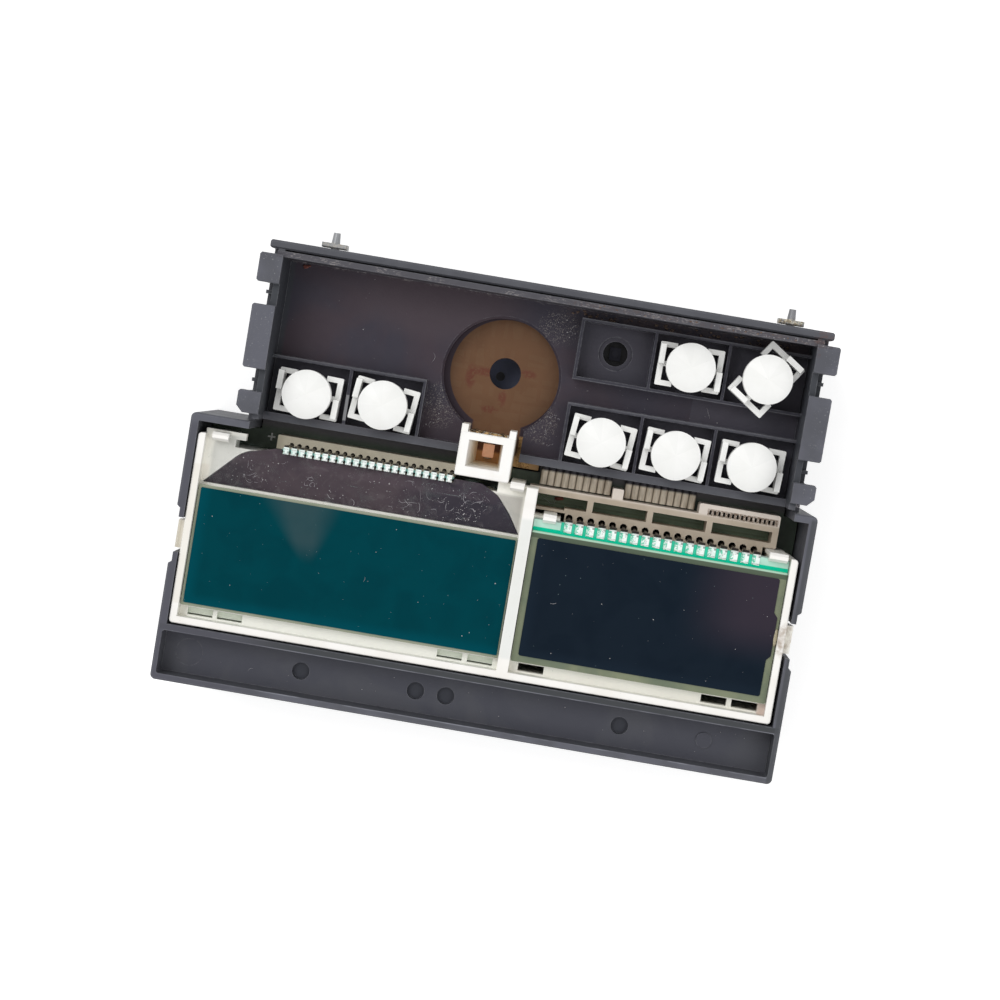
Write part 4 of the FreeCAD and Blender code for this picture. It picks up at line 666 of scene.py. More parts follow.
@dataclass(frozen=True)
class BoardFinish(Finish):
    """Circuit board: flat fibre sheet under a lacquer, with copper tracks showing through.

    Attributes:
        shade: The colour where only little light falls, or none.
        lit: The round area (x, y, radius) that is well lit.
        track: The colour over the tracks.
        hand_marks: Places and sizes of old smudges (x, y, rx, ry).
        smudge: The smudges' colour.
    """

    shade: Colour | None = None
    lit: tuple[float, float, float] = (0.0, 0.0, 1.0)
    track: Colour = (0.1, 0.1, 0.1, 1.0)
    hand_marks: tuple[tuple[float, float, float, float], ...] = ()
    smudge: Colour = (0.1, 0.05, 0.05, 1.0)

    def tone(self, tree: Tree) -> Sock:
        """Lacquer, weave and faint tracks, with painted light lifting the board where it lies deep and
        a painted shadow round the knob opening.
        """
        colour = super().tone(tree)
        weave = tree.noise(2.5, 2.0, (1.0, 4.0, 1.0)) + tree.noise(2.5, 2.0, (4.0, 1.0, 1.0))
        colour = tree.mix((weave * 0.5).fade(0.4, 0.7) * 0.2, colour, self.track)
        runs = tree.noise(0.22, 1.0, (0.25, 2.2, 1.0)).fade(0.5, 0.53)
        runs = runs * tree.noise(0.3, 1.0, (2.0, 0.3, 1.0)).fade(0.45, 0.48)
        colour = tree.mix(runs * 0.35, colour, self.track)
        if self.shade is None:
            colour = tree.mix(tree.y.fade(59.4, 61.0) * 0.8, colour, paint(98, 93, 98))
            # Painted light: the board seen in the display windows is lifted lighter.
            windows = Area((8.0, 63.0), (52.5, 56.5), paint(120, 138, 112), 0.7, soft=0.2)
            colour = tree.lay(colour, windows)
        for x, y, rx, ry in self.hand_marks:
            mark = tree.blot(x, y, rx, ry, 0.95) * tree.noise(0.9, 3.0, warp=1.0).fade(0.3, 0.6)
            colour = tree.mix(mark * 0.6, colour, self.smudge)
        if self.shade is not None:
            x, y, radius = self.lit
            neck = tree.patch(-9.3, 1.9, 60.0, 75.0, 0.3).most(tree.y.fade(63.2, 62.4))
            open_part = tree.blot(x, y, radius, radius, 0.04).most(neck)
            # Painted shadow: a purple-brown ring of shade round the lit circle, under the opening's
            # edge.
            below = tree.mix(tree.blot(x - 1.0, y, 17.5, 17.5, 0.05), self.shade, paint(56, 45, 54))
            colour = tree.mix(open_part, below, colour)
            # Painted light: the board's tail below y 62.4 is lifted to a light brown.
            colour = tree.mix(tree.y.fade(63.2, 62.4), colour, paint(200, 160, 112))
            # Painted light: the board seen through the notch in the tray wall is lifted to a grained
            # yellow-brown.
            lit_notch = tree.patch(2.0, 5.4, 56.0, 67.4, 0.25)
            grain = tree.noise(1.6, 4.0, warp=1.5).fade(0.35, 0.62)
            colour = tree.mix(lit_notch, colour, tree.mix(grain, paint(222, 178, 118), paint(150, 112, 70)))
        return colour


@dataclass(frozen=True)
class FilmFinish(Finish):
    """Glossy polarising film with a hazy reflection and fine scratches.

    Attributes:
        reflected_haze: The colour of the painted hazy reflection.
        beam: A soft wedge of painted reflection (low y, high y, low x, high x, low half-width,
            high half-width, strength).
        wash: A soft wash of painted reflection to the upper right (start x, full x, start y,
            full y, strength).
        rim: The colour towards the film's lower and outer edges.
        box: The film's edges (x0, x1, y0, y1).
    """

    reflected_haze: Colour = (0.1, 0.1, 0.1, 1.0)
    beam: tuple[float, float, float, float, float, float, float] | None = None
    wash: tuple[float, float, float, float, float] | None = None
    rim: Colour = (0.0, 0.05, 0.07, 1.0)
    box: tuple[float, float, float, float] = (0.0, 1.0, 0.0, 1.0)

    def tone(self, tree: Tree) -> Sock:
        """Deep colour, a lighter rim, painted hazy reflection and hairline scratches."""
        x0, x1, y0, y1 = self.box
        colour = super().tone(tree)
        inside = tree.patch(x0 + 1.6, x1 + 4.0, y0 + 1.6, y1 + 4.0, 1.5)
        colour = tree.mix((1 - inside) * 0.8, colour, self.rim)
        # Painted reflection: a soft wedge of haze.
        if self.beam is not None:
            low, high, x_low, x_high, half_low, half_high, strength = self.beam
            up = (tree.y - low) / (high - low)
            away = (tree.x - x_low - up * (x_high - x_low)).apply("ABSOLUTE")
            inside = (away / (up.most(0.0) * (half_high - half_low) + half_low)).fade(1.1, 0.3)
            veil = inside * up.fade(0.0, 0.45) * (tree.noise(0.12, 3.0).fade(0.2, 0.6) * 0.3 + 0.7)
            colour = tree.mix(veil * strength, colour, self.reflected_haze)
        # Painted reflection: a soft wash to the upper right.
        if self.wash is not None:
            x_start, x_full, y_start, y_full, strength = self.wash
            corner = tree.x.fade(x_start, x_full) * tree.y.fade(y_start, y_full)
            cloud = tree.noise(0.05, 2.0) * 0.3 + 0.85
            colour = tree.mix((corner * cloud * strength).clip(), colour, self.reflected_haze)
        motes = tree.specks(0.9, 0.1, 0.2)
        return tree.mix(motes * 0.4, colour, paint(140, 160, 160))

    def gloss(self, tree: Tree) -> Sock:
        """Smooth, with duller wipe marks."""
        return tree.noise(0.12, 4.0, (0.6, 1.6, 1.0), 20.0, 1.0).fade(0.4, 0.8) * 0.18 + self.rough


@dataclass(frozen=True)
class GlassFinish(Finish):
    """Display glass: see-through where it is clear, opaque under its seal and dust.

    Attributes:
        clear: How solid the clear glass looks.
        sealed: How solid the seal looks.
        seal: The seal's area (x0, x1, y0, y1).
        bands: Tinted bands along the upper edge (low y, high y, colour).
    """

    clear: float = 0.12
    sealed: float = 0.9
    seal: tuple[float, float, float, float] = (0.0, 1.0, 0.0, 1.0)
    bands: tuple[tuple[float, float, Colour], ...] = ()

    def extra(self, tree: Tree) -> dict:
        """The alpha: seal, dust and hairlines over clear glass."""
        x0, x1, y0, y1 = self.seal
        covered = tree.patch(x0, x1, y0, y1, 0.15) * self.sealed
        hairs = tree.noise(0.6, 2.0, (0.1, 4.0, 1.0), 38.0).fade(0.72, 0.76) * 0.2
        motes = tree.specks(1.3, 0.13, 0.3) * 0.6
        smear = tree.noise(0.2, 4.0, warp=1.0).fade(0.5, 0.8) * 0.06
        alpha = (covered + (hairs + motes + smear + self.clear) * (1 - covered)).clip()
        return {"Alpha": alpha, "IOR": 1.5}

    def tone(self, tree: Tree) -> Sock:
        """Tinted seal, pale dust elsewhere."""
        x0, x1, y0, y1 = self.seal
        colour = super().tone(tree)
        for low, high, tint in self.bands:
            colour = tree.mix(tree.patch(x0, x1, low, high, 0.08), colour, tint)
        return tree.mix((1 - tree.patch(x0, x1, y0, y1, 0.15)) * 0.8, colour, paint(176, 186, 182))


@dataclass(frozen=True)
class ShieldFinish(Finish):
    """Dark plate under the display's upper edge: purple-brown, blacker to the right."""

    def tone(self, tree: Tree) -> Sock:
        """Brown middle, near-black ends, pale wipe marks."""
        colour = super().tone(tree)
        colour = tree.mix(tree.x.fade(-24.0, -10.0) * 0.75, colour, paint(52, 51, 60))
        colour = tree.mix(tree.x.fade(-52.0, -62.0) * 0.6, colour, paint(60, 58, 62))
        band = tree.y.fade(51.5, 52.5) * tree.noise(0.3, 3.0, (0.3, 1.0, 1.0)).fade(0.35, 0.6)
        colour = tree.mix(band * 0.3, colour, paint(92, 80, 88))
        cloud = tree.noise(0.35, 5.0, warp=1.4).fade(0.52, 0.72)
        return tree.mix(cloud * 0.3, colour, paint(112, 106, 108))


@dataclass(frozen=True)
class PinFinish(Finish):
    """Tinned contact pins, waisted in the middle, with a painted reflection of the tracks beside them
    and painted hole shade on their tops.

    Attributes:
        row: The row that the pins stand in.
        waist: The waist's middle along Y.
        tint: The colour of the tracks' painted reflection.
        lean: The share of each pin, from its left side, that takes the painted reflection.
        hole_shade_start: Where the painted shade of the strip's holes starts on the pins' tops, along
            Y.
        dark: The half-width of the darkest part of the painted hole shade, as a share of the pitch.
    """

    row: Row = LEFT_ROW
    waist: float = 0.0
    tint: Colour = (0.1, 0.6, 0.5, 1.0)
    lean: float = 0.4
    hole_shade_start: float = 0.0
    dark: float = 0.3

    def tone(self, tree: Tree) -> Sock:
        """Pale metal with dark notches at the waist, a side tinted as a painted reflection of the
        tracks, and tops painted with the strip's beige and the dark of its holes as painted shade.
        """
        colour = super().tone(tree)
        across = ((tree.x - self.row.first) / self.row.pitch + 100.5).apply("FRACT")
        off = (across - 0.5).apply("ABSOLUTE")
        waist = (tree.y - self.waist).apply("ABSOLUTE").fade(0.26, 0.14)
        notch = off.fade(0.12, 0.2) * waist
        colour = tree.mix(notch * 0.75, colour, paint(84, 104, 98))
        # Painted reflection: one side of each pin takes the tracks' colour.
        side = tree.noise(2.2, 3.0, warp=1.0).fade(0.38, 0.56) * 0.85
        side = side * across.fade(self.lean, self.lean - 0.08)
        colour = tree.mix(side, colour, self.tint)
        # Painted shade: the pins' tops take the strip's beige, with the dark of its holes in the
        # middle.
        back = tree.y.fade(self.hole_shade_start - 0.06, self.hole_shade_start + 0.06)
        darkest = off.fade(self.dark + 0.03, self.dark - 0.03)
        return tree.mix(back, colour, tree.mix(darkest, paint(150, 142, 124), paint(34, 28, 24)))


@dataclass(frozen=True)
class FrameFinish(Finish):
    """Beige frame: its raised end is paler and its slots are dirty.

    Attributes:
        raised: The raised end's colour.
        slots: The slots' area (x0, x1, y0, y1).
        dirt: The colour in and round the slots.
    """

    raised: Colour = (0.7, 0.65, 0.6, 1.0)
    slots: tuple[float, float, float, float] = (0.0, 1.0, 0.0, 1.0)
    dirt: Colour = (0.1, 0.08, 0.06, 1.0)

    def tone(self, tree: Tree) -> Sock:
        """Beige, paler above the bar, brown round the slots."""
        colour = tree.mix(tree.y.fade(56.6, 57.4), super().tone(tree), self.raised)
        x0, x1, y0, y1 = self.slots
        grime = tree.patch(x0, x1, y0, y1, 0.12) * tree.noise(2.6, 3.0, warp=1.0).fade(0.3, 0.55)
        return tree.mix(grime * 0.9, colour, self.dirt)


@dataclass(frozen=True)
class GlowFinish(Finish):
    """Clear resin painted to glow by itself, as painted light.

    Attributes:
        glow: How strongly it glows as painted light.
    """

    glow: float = 0.1

    def extra(self, tree: Tree) -> dict:
        """The painted glow, patchy as the resin is."""
        glow_colour = tree.mix(tree.noise(1.4, 2.0).fade(0.3, 0.7), self.colour, self.drift)
        return {"Emission Color": glow_colour, "Emission Strength": self.glow}


@dataclass(frozen=True)
class BoxFinish(Finish):
    """White plastic of the light box, with painted light lifting its well to a warm light cream where
    the light sits deep.

    Attributes:
        well: The well's colour, lifted to a warm light cream as painted light.
    """

    well: Colour = (0.8, 0.6, 0.4, 1.0)

    def tone(self, tree: Tree) -> Sock:
        """White on top, painted light in warm cream below."""
        return tree.mix(tree.z.fade(29.5, 15.0), super().tone(tree), self.well)


@dataclass(frozen=True)
class PegFinish(Finish):
    """Grey locating peg; its collar is dirty where the metal has corroded.

    Attributes:
        grime: How much of the collar is covered.
    """

    grime: float = 0.3

    def tone(self, tree: Tree) -> Sock:
        """Grey with white, green and rusty spots round the collar."""
        colour = super().tone(tree)
        collar = tree.y.fade(104.4, 103.8)
        cloud = tree.noise(1.4, 4.0, warp=1.5)
        colour = tree.mix(collar * cloud.fade(0.44, 0.56) * self.grime, colour, paint(198, 190, 172))
        colour = tree.mix(collar * cloud.fade(0.6, 0.68) * self.grime, colour, paint(120, 86, 58))
        green = tree.noise(1.9, 3.0, warp=1.0).fade(0.6, 0.68)
        return tree.mix(collar * green * self.grime * 0.8, colour, paint(98, 122, 96))


class Shape:
    """Closed forms in module millimetres, gathered into one piece."""

    def __init__(self) -> None:
        """Starts empty."""
        self.mesh = bmesh.new()

    def block(self, x: tuple[float, float], y: tuple[float, float], floor: float, height: float,
              bevel: float, turn: float = 0.0) -> None:
        """A block with broken edges.

        Args:
            x: Its two ends along X.
            y: Its two ends along Y.
            floor: Height of the surface that it stands on.
            height: Its own height.
            bevel: The width of the broken edges.
            turn: Turn about its own middle, in degrees.
        """
        middle = Vector(((x[0] + x[1]) / 2, (y[0] + y[1]) / 2, floor + height / 2))
        size = Matrix.Diagonal((x[1] - x[0], y[1] - y[0], height, 1.0))
        spin = Matrix.Rotation(math.radians(turn), 4, "Z")
        matrix = Matrix.Translation(middle) @ spin @ size
        made = bmesh.ops.create_cube(self.mesh, size=1.0, matrix=matrix)
        edges = {e for v in made["verts"] for e in v.link_edges}
        bmesh.ops.bevel(self.mesh, geom=list(edges), offset=bevel, segments=2, affect="EDGES")

    def lump(self, middle: Point, radii: Point, rng: random.Random, uneven: float = 0.2,
             fineness: int = 2, floor: float | None = None) -> None:
        """A rounded, uneven lump.

        Args:
            middle: Its middle.
            radii: Its three radii.
            rng: Where the unevenness is drawn from.
            uneven: How uneven it is.
            fineness: Subdivision of the sphere that it starts from.
            floor: Height of the surface that it lies on.
        """
        made = bmesh.ops.create_icosphere(self.mesh, subdivisions=fineness, radius=1.0)
        for vert in made["verts"]:
            push = 1 + rng.uniform(-uneven, uneven)
            vert.co = Vector(middle) + Vector(c * r * push for c, r in zip(vert.co, radii))
            if floor is not None:
                vert.co.z = max(vert.co.z, floor)

    def strand(self, path: list[Vector], width: float) -> None:
        """A thin fibre along a path, pointed at both ends.

        Args:
            path: The points it runs through.
            width: Its width in the middle.
        """
        rings = []
        for number, at in enumerate(path):
            ahead = path[min(number + 1, len(path) - 1)] - path[max(number - 1, 0)]
            side = Vector((-ahead.y, ahead.x, 0.0)).normalized()
            swell = width / 2 * (0.25 + 0.75 * math.sin(math.pi * number / (len(path) - 1)))
            up = Vector((0.0, 0.0, swell))
            steps = (side * swell, up, -side * swell, -up)
            rings.append([self.mesh.verts.new(at + step) for step in steps])
        for first, second in zip(rings, rings[1:]):
            for k in range(4):
                self.mesh.faces.new((first[k], first[k - 1], second[k - 1], second[k]))
        self.mesh.faces.new(rings[0])
        self.mesh.faces.new(rings[-1][::-1])

    def ring(self, middle: Point, outer: float, inner: float, height: float, sides: int = 20) -> None:
        """A flat ring with a square section."""
        x, y, z = middle
        loops = []
        for radius, level in ((inner, z), (outer, z), (outer, z + height), (inner, z + height)):
            loops.append([self.mesh.verts.new((x + radius * math.cos(2 * math.pi * k / sides),
                                               y + radius * math.sin(2 * math.pi * k / sides), level))
                          for k in range(sides)])
        for first, second in zip(loops, loops[1:] + loops[:1]):
            for k in range(sides):
                self.mesh.faces.new((first[k - 1], first[k], second[k], second[k - 1]))

    def piece(self, name: str, slot: Slot, finish: Finish, smooth: bool = True) -> None:
        """Turns what was gathered into a piece that rides on the module.

        Args:
            name: The piece's name.
            slot: The record's slot; not used.
            finish: Its finish.
            smooth: Whether it is shaded smooth.
        """
        for vert in self.mesh.verts:
            vert.co = place(*vert.co)
        bmesh.ops.recalc_face_normals(self.mesh, faces=self.mesh.faces)
        data = bpy.data.meshes.new(name)
        self.mesh.to_mesh(data)
        self.mesh.free()
        data.polygons.foreach_set("use_smooth", [smooth] * len(data.polygons))
        piece = bpy.data.objects.new(name, data)
        bpy.context.scene.collection.objects.link(piece)
        data.materials.append(finish.make())
        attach(piece, BODY)
        LOG.info("%s: %d faces", name, len(data.polygons))


def dress(finish: Finish, slot: Slot, *nodes: str) -> None:
    """Gives CAD nodes their finish.

    Args:
        finish: The finish.
        slot: The record's slot; not used.
        nodes: The nodes' names.
    """
    material = finish.make()
    for name in nodes:
        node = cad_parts[name]
        node.data.materials.clear()
        node.data.materials.append(material)
    LOG.info("%s dresses %s", finish.name, ", ".join(nodes))


@dataclass
class Lamp:
    """A soft lamp.

    Attributes:
        name: Its name.
        at: Where it hangs, in metres.
        size: Its width.
        power: Its power in watts.
    """

    name: str
    at: Point
    size: float
    power: float

    def build(self) -> None:
        """Hangs the lamp, aimed at the module."""
        data = bpy.data.lights.new(self.name, "AREA")
        data.size, data.energy = self.size, self.power
        lamp = bpy.data.objects.new(self.name, data)
        lamp.location = self.at
        lamp.rotation_euler = (-Vector(self.at)).to_track_quat("-Z", "Y").to_euler()
        bpy.context.scene.collection.objects.link(lamp)


@dataclass
class Studio:
    """Plain white table, soft light and the camera above it.

    Attributes:
        eye: The camera's place, in metres.
        aim: What it looks at.
        roll: How far the module looks turned, in degrees.
        lens: Focal length in millimetres, on a 36 mm sensor.
        sky: Brightness of the light from all round.
        floor_size: The table's width.
        floor_drop: The gap under the module.
        floor_glow: How bright the table looks by itself.
        lamps: The soft lamps.
    """

    eye: Point = (0.01037, 0.0313, 0.532)
    aim: Point = (0.00037, 0.0001, 0.032)
    roll: float = 9.65
    lens: float = 80.27
    sky: float = 0.62
    floor_size: float = 3.0
    floor_drop: float = 0.0003
    floor_glow: float = 0.5
    lamps: list[Lamp] = field(default_factory=lambda: [
        Lamp("key_lamp", (-0.55, 0.45, 0.95), 0.7, 4.6),
        Lamp("fill_lamp", (0.65, -0.25, 0.9), 0.9, 2.6),
    ])

    def seen(self, tree: Tree) -> Sock:
        """One for rays that show the background: from the camera, a gloss or a glass."""
        path = tree.add("ShaderNodeLightPath", out="Is Camera Ray")
        return path.most(path.other("Is Glossy Ray")).most(path.other("Is Transmission Ray"))

    def camera(self) -> None:
        """Sets the camera over the module, rolled as the photograph is."""
        eye, aim = Vector(self.eye), Vector(self.aim)
        ahead = (aim - eye).normalized()
        turn = math.radians(self.roll)
        right = Vector((math.cos(turn), math.sin(turn), 0.0))
        right = (right - ahead * right.dot(ahead)).normalized()
        up = right.cross(ahead)
        data = bpy.data.cameras.new("camera")
        data.lens, data.sensor_width = self.lens, 36.0
        data.clip_start, data.clip_end = 0.01, 20.0
        camera = bpy.data.objects.new("camera", data)
        camera.matrix_world = Matrix((right, up, -ahead)).transposed().to_4x4()
        camera.location = eye
        bpy.context.scene.collection.objects.link(camera)
        bpy.context.scene.camera = camera

    def table(self) -> None:
        """Lays the pale table, white to the camera but for the module's shadow."""
        bm = bmesh.new()
        bmesh.ops.create_grid(bm, x_segments=2, y_segments=2, size=self.floor_size / 2)
        data = bpy.data.meshes.new("table")
        bm.to_mesh(data)
        bm.free()
        floor = bpy.data.objects.new("table", data)
        floor.location = (0.0, 0.0, -self.floor_drop)
        bpy.context.scene.collection.objects.link(floor)
        tree = Tree("table_white")
        matt = tree.add("ShaderNodeBsdfDiffuse", values={"Color": paint(236, 236, 236)})
        glow = tree.add("ShaderNodeEmission", values={"Strength": self.seen(tree) * self.floor_glow})
        both = tree.add("ShaderNodeAddShader", values={0: matt, 1: glow})
        tree.add("ShaderNodeOutputMaterial", values={0: both})
        data.materials.append(tree.made)

    def air(self) -> None:
        """Fills the room with even light, white where it is seen."""
        tree = Tree("room", bpy.data.worlds)
        level = tree.add("ShaderNodeMapRange", values={0: self.seen(tree), 3: self.sky, 4: 1.0})
        air = tree.add("ShaderNodeBackground", values={0: paint(255, 255, 255), 1: level})
        tree.add("ShaderNodeOutputWorld", values={0: air})
        bpy.context.scene.world = tree.made

    def build(self) -> None:
        """Sets up camera, table, air and lamps."""
        bpy.context.scene.view_settings.view_transform = "Standard"
        self.camera()
        self.table()
        self.air()
        for lamp in self.lamps:
            lamp.build()


@dataclass
class Housing:
    """Black housing, rear cover, pegs and wiring socket."""

    finish: Finish = HousingFinish(
        "black_moulding", paint(80, 81, 87), paint(88, 89, 95), rough=0.52, grain=0.2,
        grain_scale=5.0, specular=0.22, wear_and_highlight=paint(128, 129, 134))
    cover_finish: Finish = CoverFinish(
        "black_cover", paint(66, 67, 72), paint(74, 75, 80), rough=0.55, grain=0.3,
        grain_scale=4.0, specular=0.25, wear_and_highlight=paint(110, 111, 116), dust=0.12)
    left_peg: Finish = PegFinish(
        "peg_grey", paint(132, 134, 137), paint(150, 151, 153), rough=0.38, metal=0.4, grime=0.35)
    right_peg: Finish = PegFinish(
        "peg_dirty", paint(112, 113, 116), paint(134, 134, 137), rough=0.42, metal=0.4, grime=1.0)
    socket_finish: Finish = Finish(
        "socket_natural", paint(214, 208, 190), paint(200, 193, 172), rough=0.42, grain=0.12,
        wear_and_highlight=paint(232, 228, 214))
    pin_finish: Finish = Finish(
        "socket_pin_tin", paint(196, 196, 192), paint(164, 164, 160), rough=0.3, metal=1.0, grain=0.1)

    def build(self) -> None:
        """Dresses the mouldings and adds what clings to the top bar."""
        dress(self.finish, Slot.HOUSING, "housing")
        dress(self.cover_finish, Slot.HOUSING, "rear_cover")
        dress(self.left_peg, Slot.GREY, "top_peg_left")
        dress(self.right_peg, Slot.GREY, "top_peg_right")
        dress(self.socket_finish, Slot.BEIGE, "wiring_socket")
        dress(self.pin_finish, Slot.METAL, "wiring_socket_pins")
        self.residue()

    def residue(self) -> None:
        """Brown remains along the top bar and dirt round the right peg's collar."""
        rng = random.Random(11)
        crumbs = Shape()
        for _ in range(46):
            reach = rng.uniform(0.12, 0.42)
            crumbs.lump((rng.uniform(9.0, 61.0), rng.uniform(97.2, 98.6), TRAY_FLOOR),
                        (reach * 1.5, reach, reach * 0.6), rng, 0.35, 1, TRAY_FLOOR - SINK)
        for _ in range(18):
            reach = rng.uniform(0.1, 0.22)
            crumbs.lump((rng.uniform(10.0, 60.0), rng.uniform(99.3, 100.0), RAIL_TOP),
                        (reach * 1.6, reach, reach * 0.6), rng, 0.35, 1, RAIL_TOP - SINK)
        crumbs.piece("bar_residue", Slot.HOUSING, Finish(
            "residue_brown", paint(122, 104, 94), paint(96, 78, 70), rough=0.85, grain=0.5))
        dirt = Shape()
        for _ in range(22):
            reach = rng.uniform(0.12, 0.32)
            dirt.lump((58.2 + rng.uniform(-2.7, 2.7), rng.uniform(102.95, 103.85), 28.5),
                      (reach, reach * 0.8, reach * 0.7), rng, 0.4, 1, 28.46)
        dirt.piece("peg_dirt", Slot.GREY, Finish(
            "dirt_mixed", paint(172, 162, 142), paint(104, 84, 60), rough=0.9, grain=0.6))
        crumb = Shape()
        crumb.lump((-53.0, 98.0, 17.2), (0.7, 0.5, 0.4), rng, 0.3, 2, TRAY_FLOOR - SINK)
        crumb.lump((-52.2, 98.3, 17.1), (0.4, 0.3, 0.25), rng, 0.3, 1, TRAY_FLOOR - SINK)
        crumb.piece("red_crumb", Slot.HOUSING, Finish(
            "crumb_red", paint(136, 76, 66), paint(110, 66, 58), rough=0.8, grain=0.4))


@dataclass
class Boards:
    """Two circuit boards, their tracks, small parts and lights."""

    green: Finish = BoardFinish(
        "green_lacquer", paint(82, 92, 80), paint(66, 76, 66), rough=0.32, specular=0.15,
        grain=0.1, grain_scale=3.0, track=paint(62, 72, 60))
    brown: Finish = BoardFinish(
        "brown_laminate", paint(110, 78, 54), paint(102, 71, 48), rough=0.42, specular=0.2,
        grain=0.1, grain_scale=3.0, shade=paint(22, 21, 26), lit=(-3.7, 81.0, 12.9),
        track=paint(112, 84, 60),
        hand_marks=((-11.5, 79.5, 1.6, 3.6), (-8.5, 81.0, 3.2, 1.4), (-3.5, 75.5, 1.2, 2.6),
                    (1.6, 82.0, 2.4, 1.3), (-6.0, 72.5, 2.6, 1.1)),
        smudge=paint(96, 36, 30))
    # Painted shade: the cell lights are dark, standing in for the shade deep in the cells.
    cell_led: Finish = Finish(
        "led_dark", paint(36, 36, 44), paint(30, 30, 38), rough=0.6, grain=0.1, specular=0.1)
    track: Finish = Finish(
        "track_lacquered", paint(96, 112, 84), paint(80, 94, 70), rough=0.35, grain=0.1)
    print_white: Finish = Finish(
        "print_pale", paint(232, 232, 228), paint(206, 206, 204), rough=0.6, grain=0.2)
    part: Finish = Finish(
        "small_part_red", paint(150, 92, 78), paint(122, 70, 60), rough=0.5, grain=0.2)

    def build(self) -> None:
        """Dresses boards and cell lights and adds tracks, a polarity cross and small parts."""
        dress(self.green, Slot.GREEN_BOARD, "display_board")
        dress(self.brown, Slot.BROWN_BOARD, "knob_board")
        dress(self.cell_led, Slot.LED, *[f"cell_led_{n}" for n in range(1, 9)])
        tracks = Shape()
        for x0, x1, y in ((8.4, 19.6, 53.6), (8.4, 14.0, 55.9), (21.8, 33.6, 53.9), (21.8, 29.6, 55.4),
                          (36.0, 47.2, 54.3), (49.6, 62.4, 53.8), (49.6, 58.0, 55.3)):
            tracks.block((x0, x1), (y - 0.22, y + 0.22), BOARD_TOP, 0.05, 0.02)
        for x, y in ((29.9, 55.4), (14.3, 55.9), (58.4, 55.3), (36.6, 55.6)):
            tracks.ring((x, y, BOARD_TOP), 0.52, 0.24, 0.07)
        tracks.piece("window_tracks", Slot.GREEN_BOARD, self.track, smooth=False)
        cross = Shape()
        cross.block((-56.1, -54.3), (57.55, 57.95), BOARD_TOP, 0.04, 0.01)
        cross.block((-55.4, -55.0), (56.85, 58.65), BOARD_TOP, 0.05, 0.01)
        cross.piece("polarity_cross", Slot.WHITE, self.print_white, smooth=False)
        chip = Shape()
        chip.block((12.8, 14.3), (54.3, 55.1), BOARD_TOP, 0.6, 0.08, 12.0)
        chip.block((12.55, 12.85), (54.3, 54.95), BOARD_TOP, 0.45, 0.05, 12.0)
        chip.block((14.25, 14.55), (54.5, 55.15), BOARD_TOP, 0.45, 0.05, 12.0)
        chip.piece("window_chip", Slot.BROWN_BOARD, self.part)


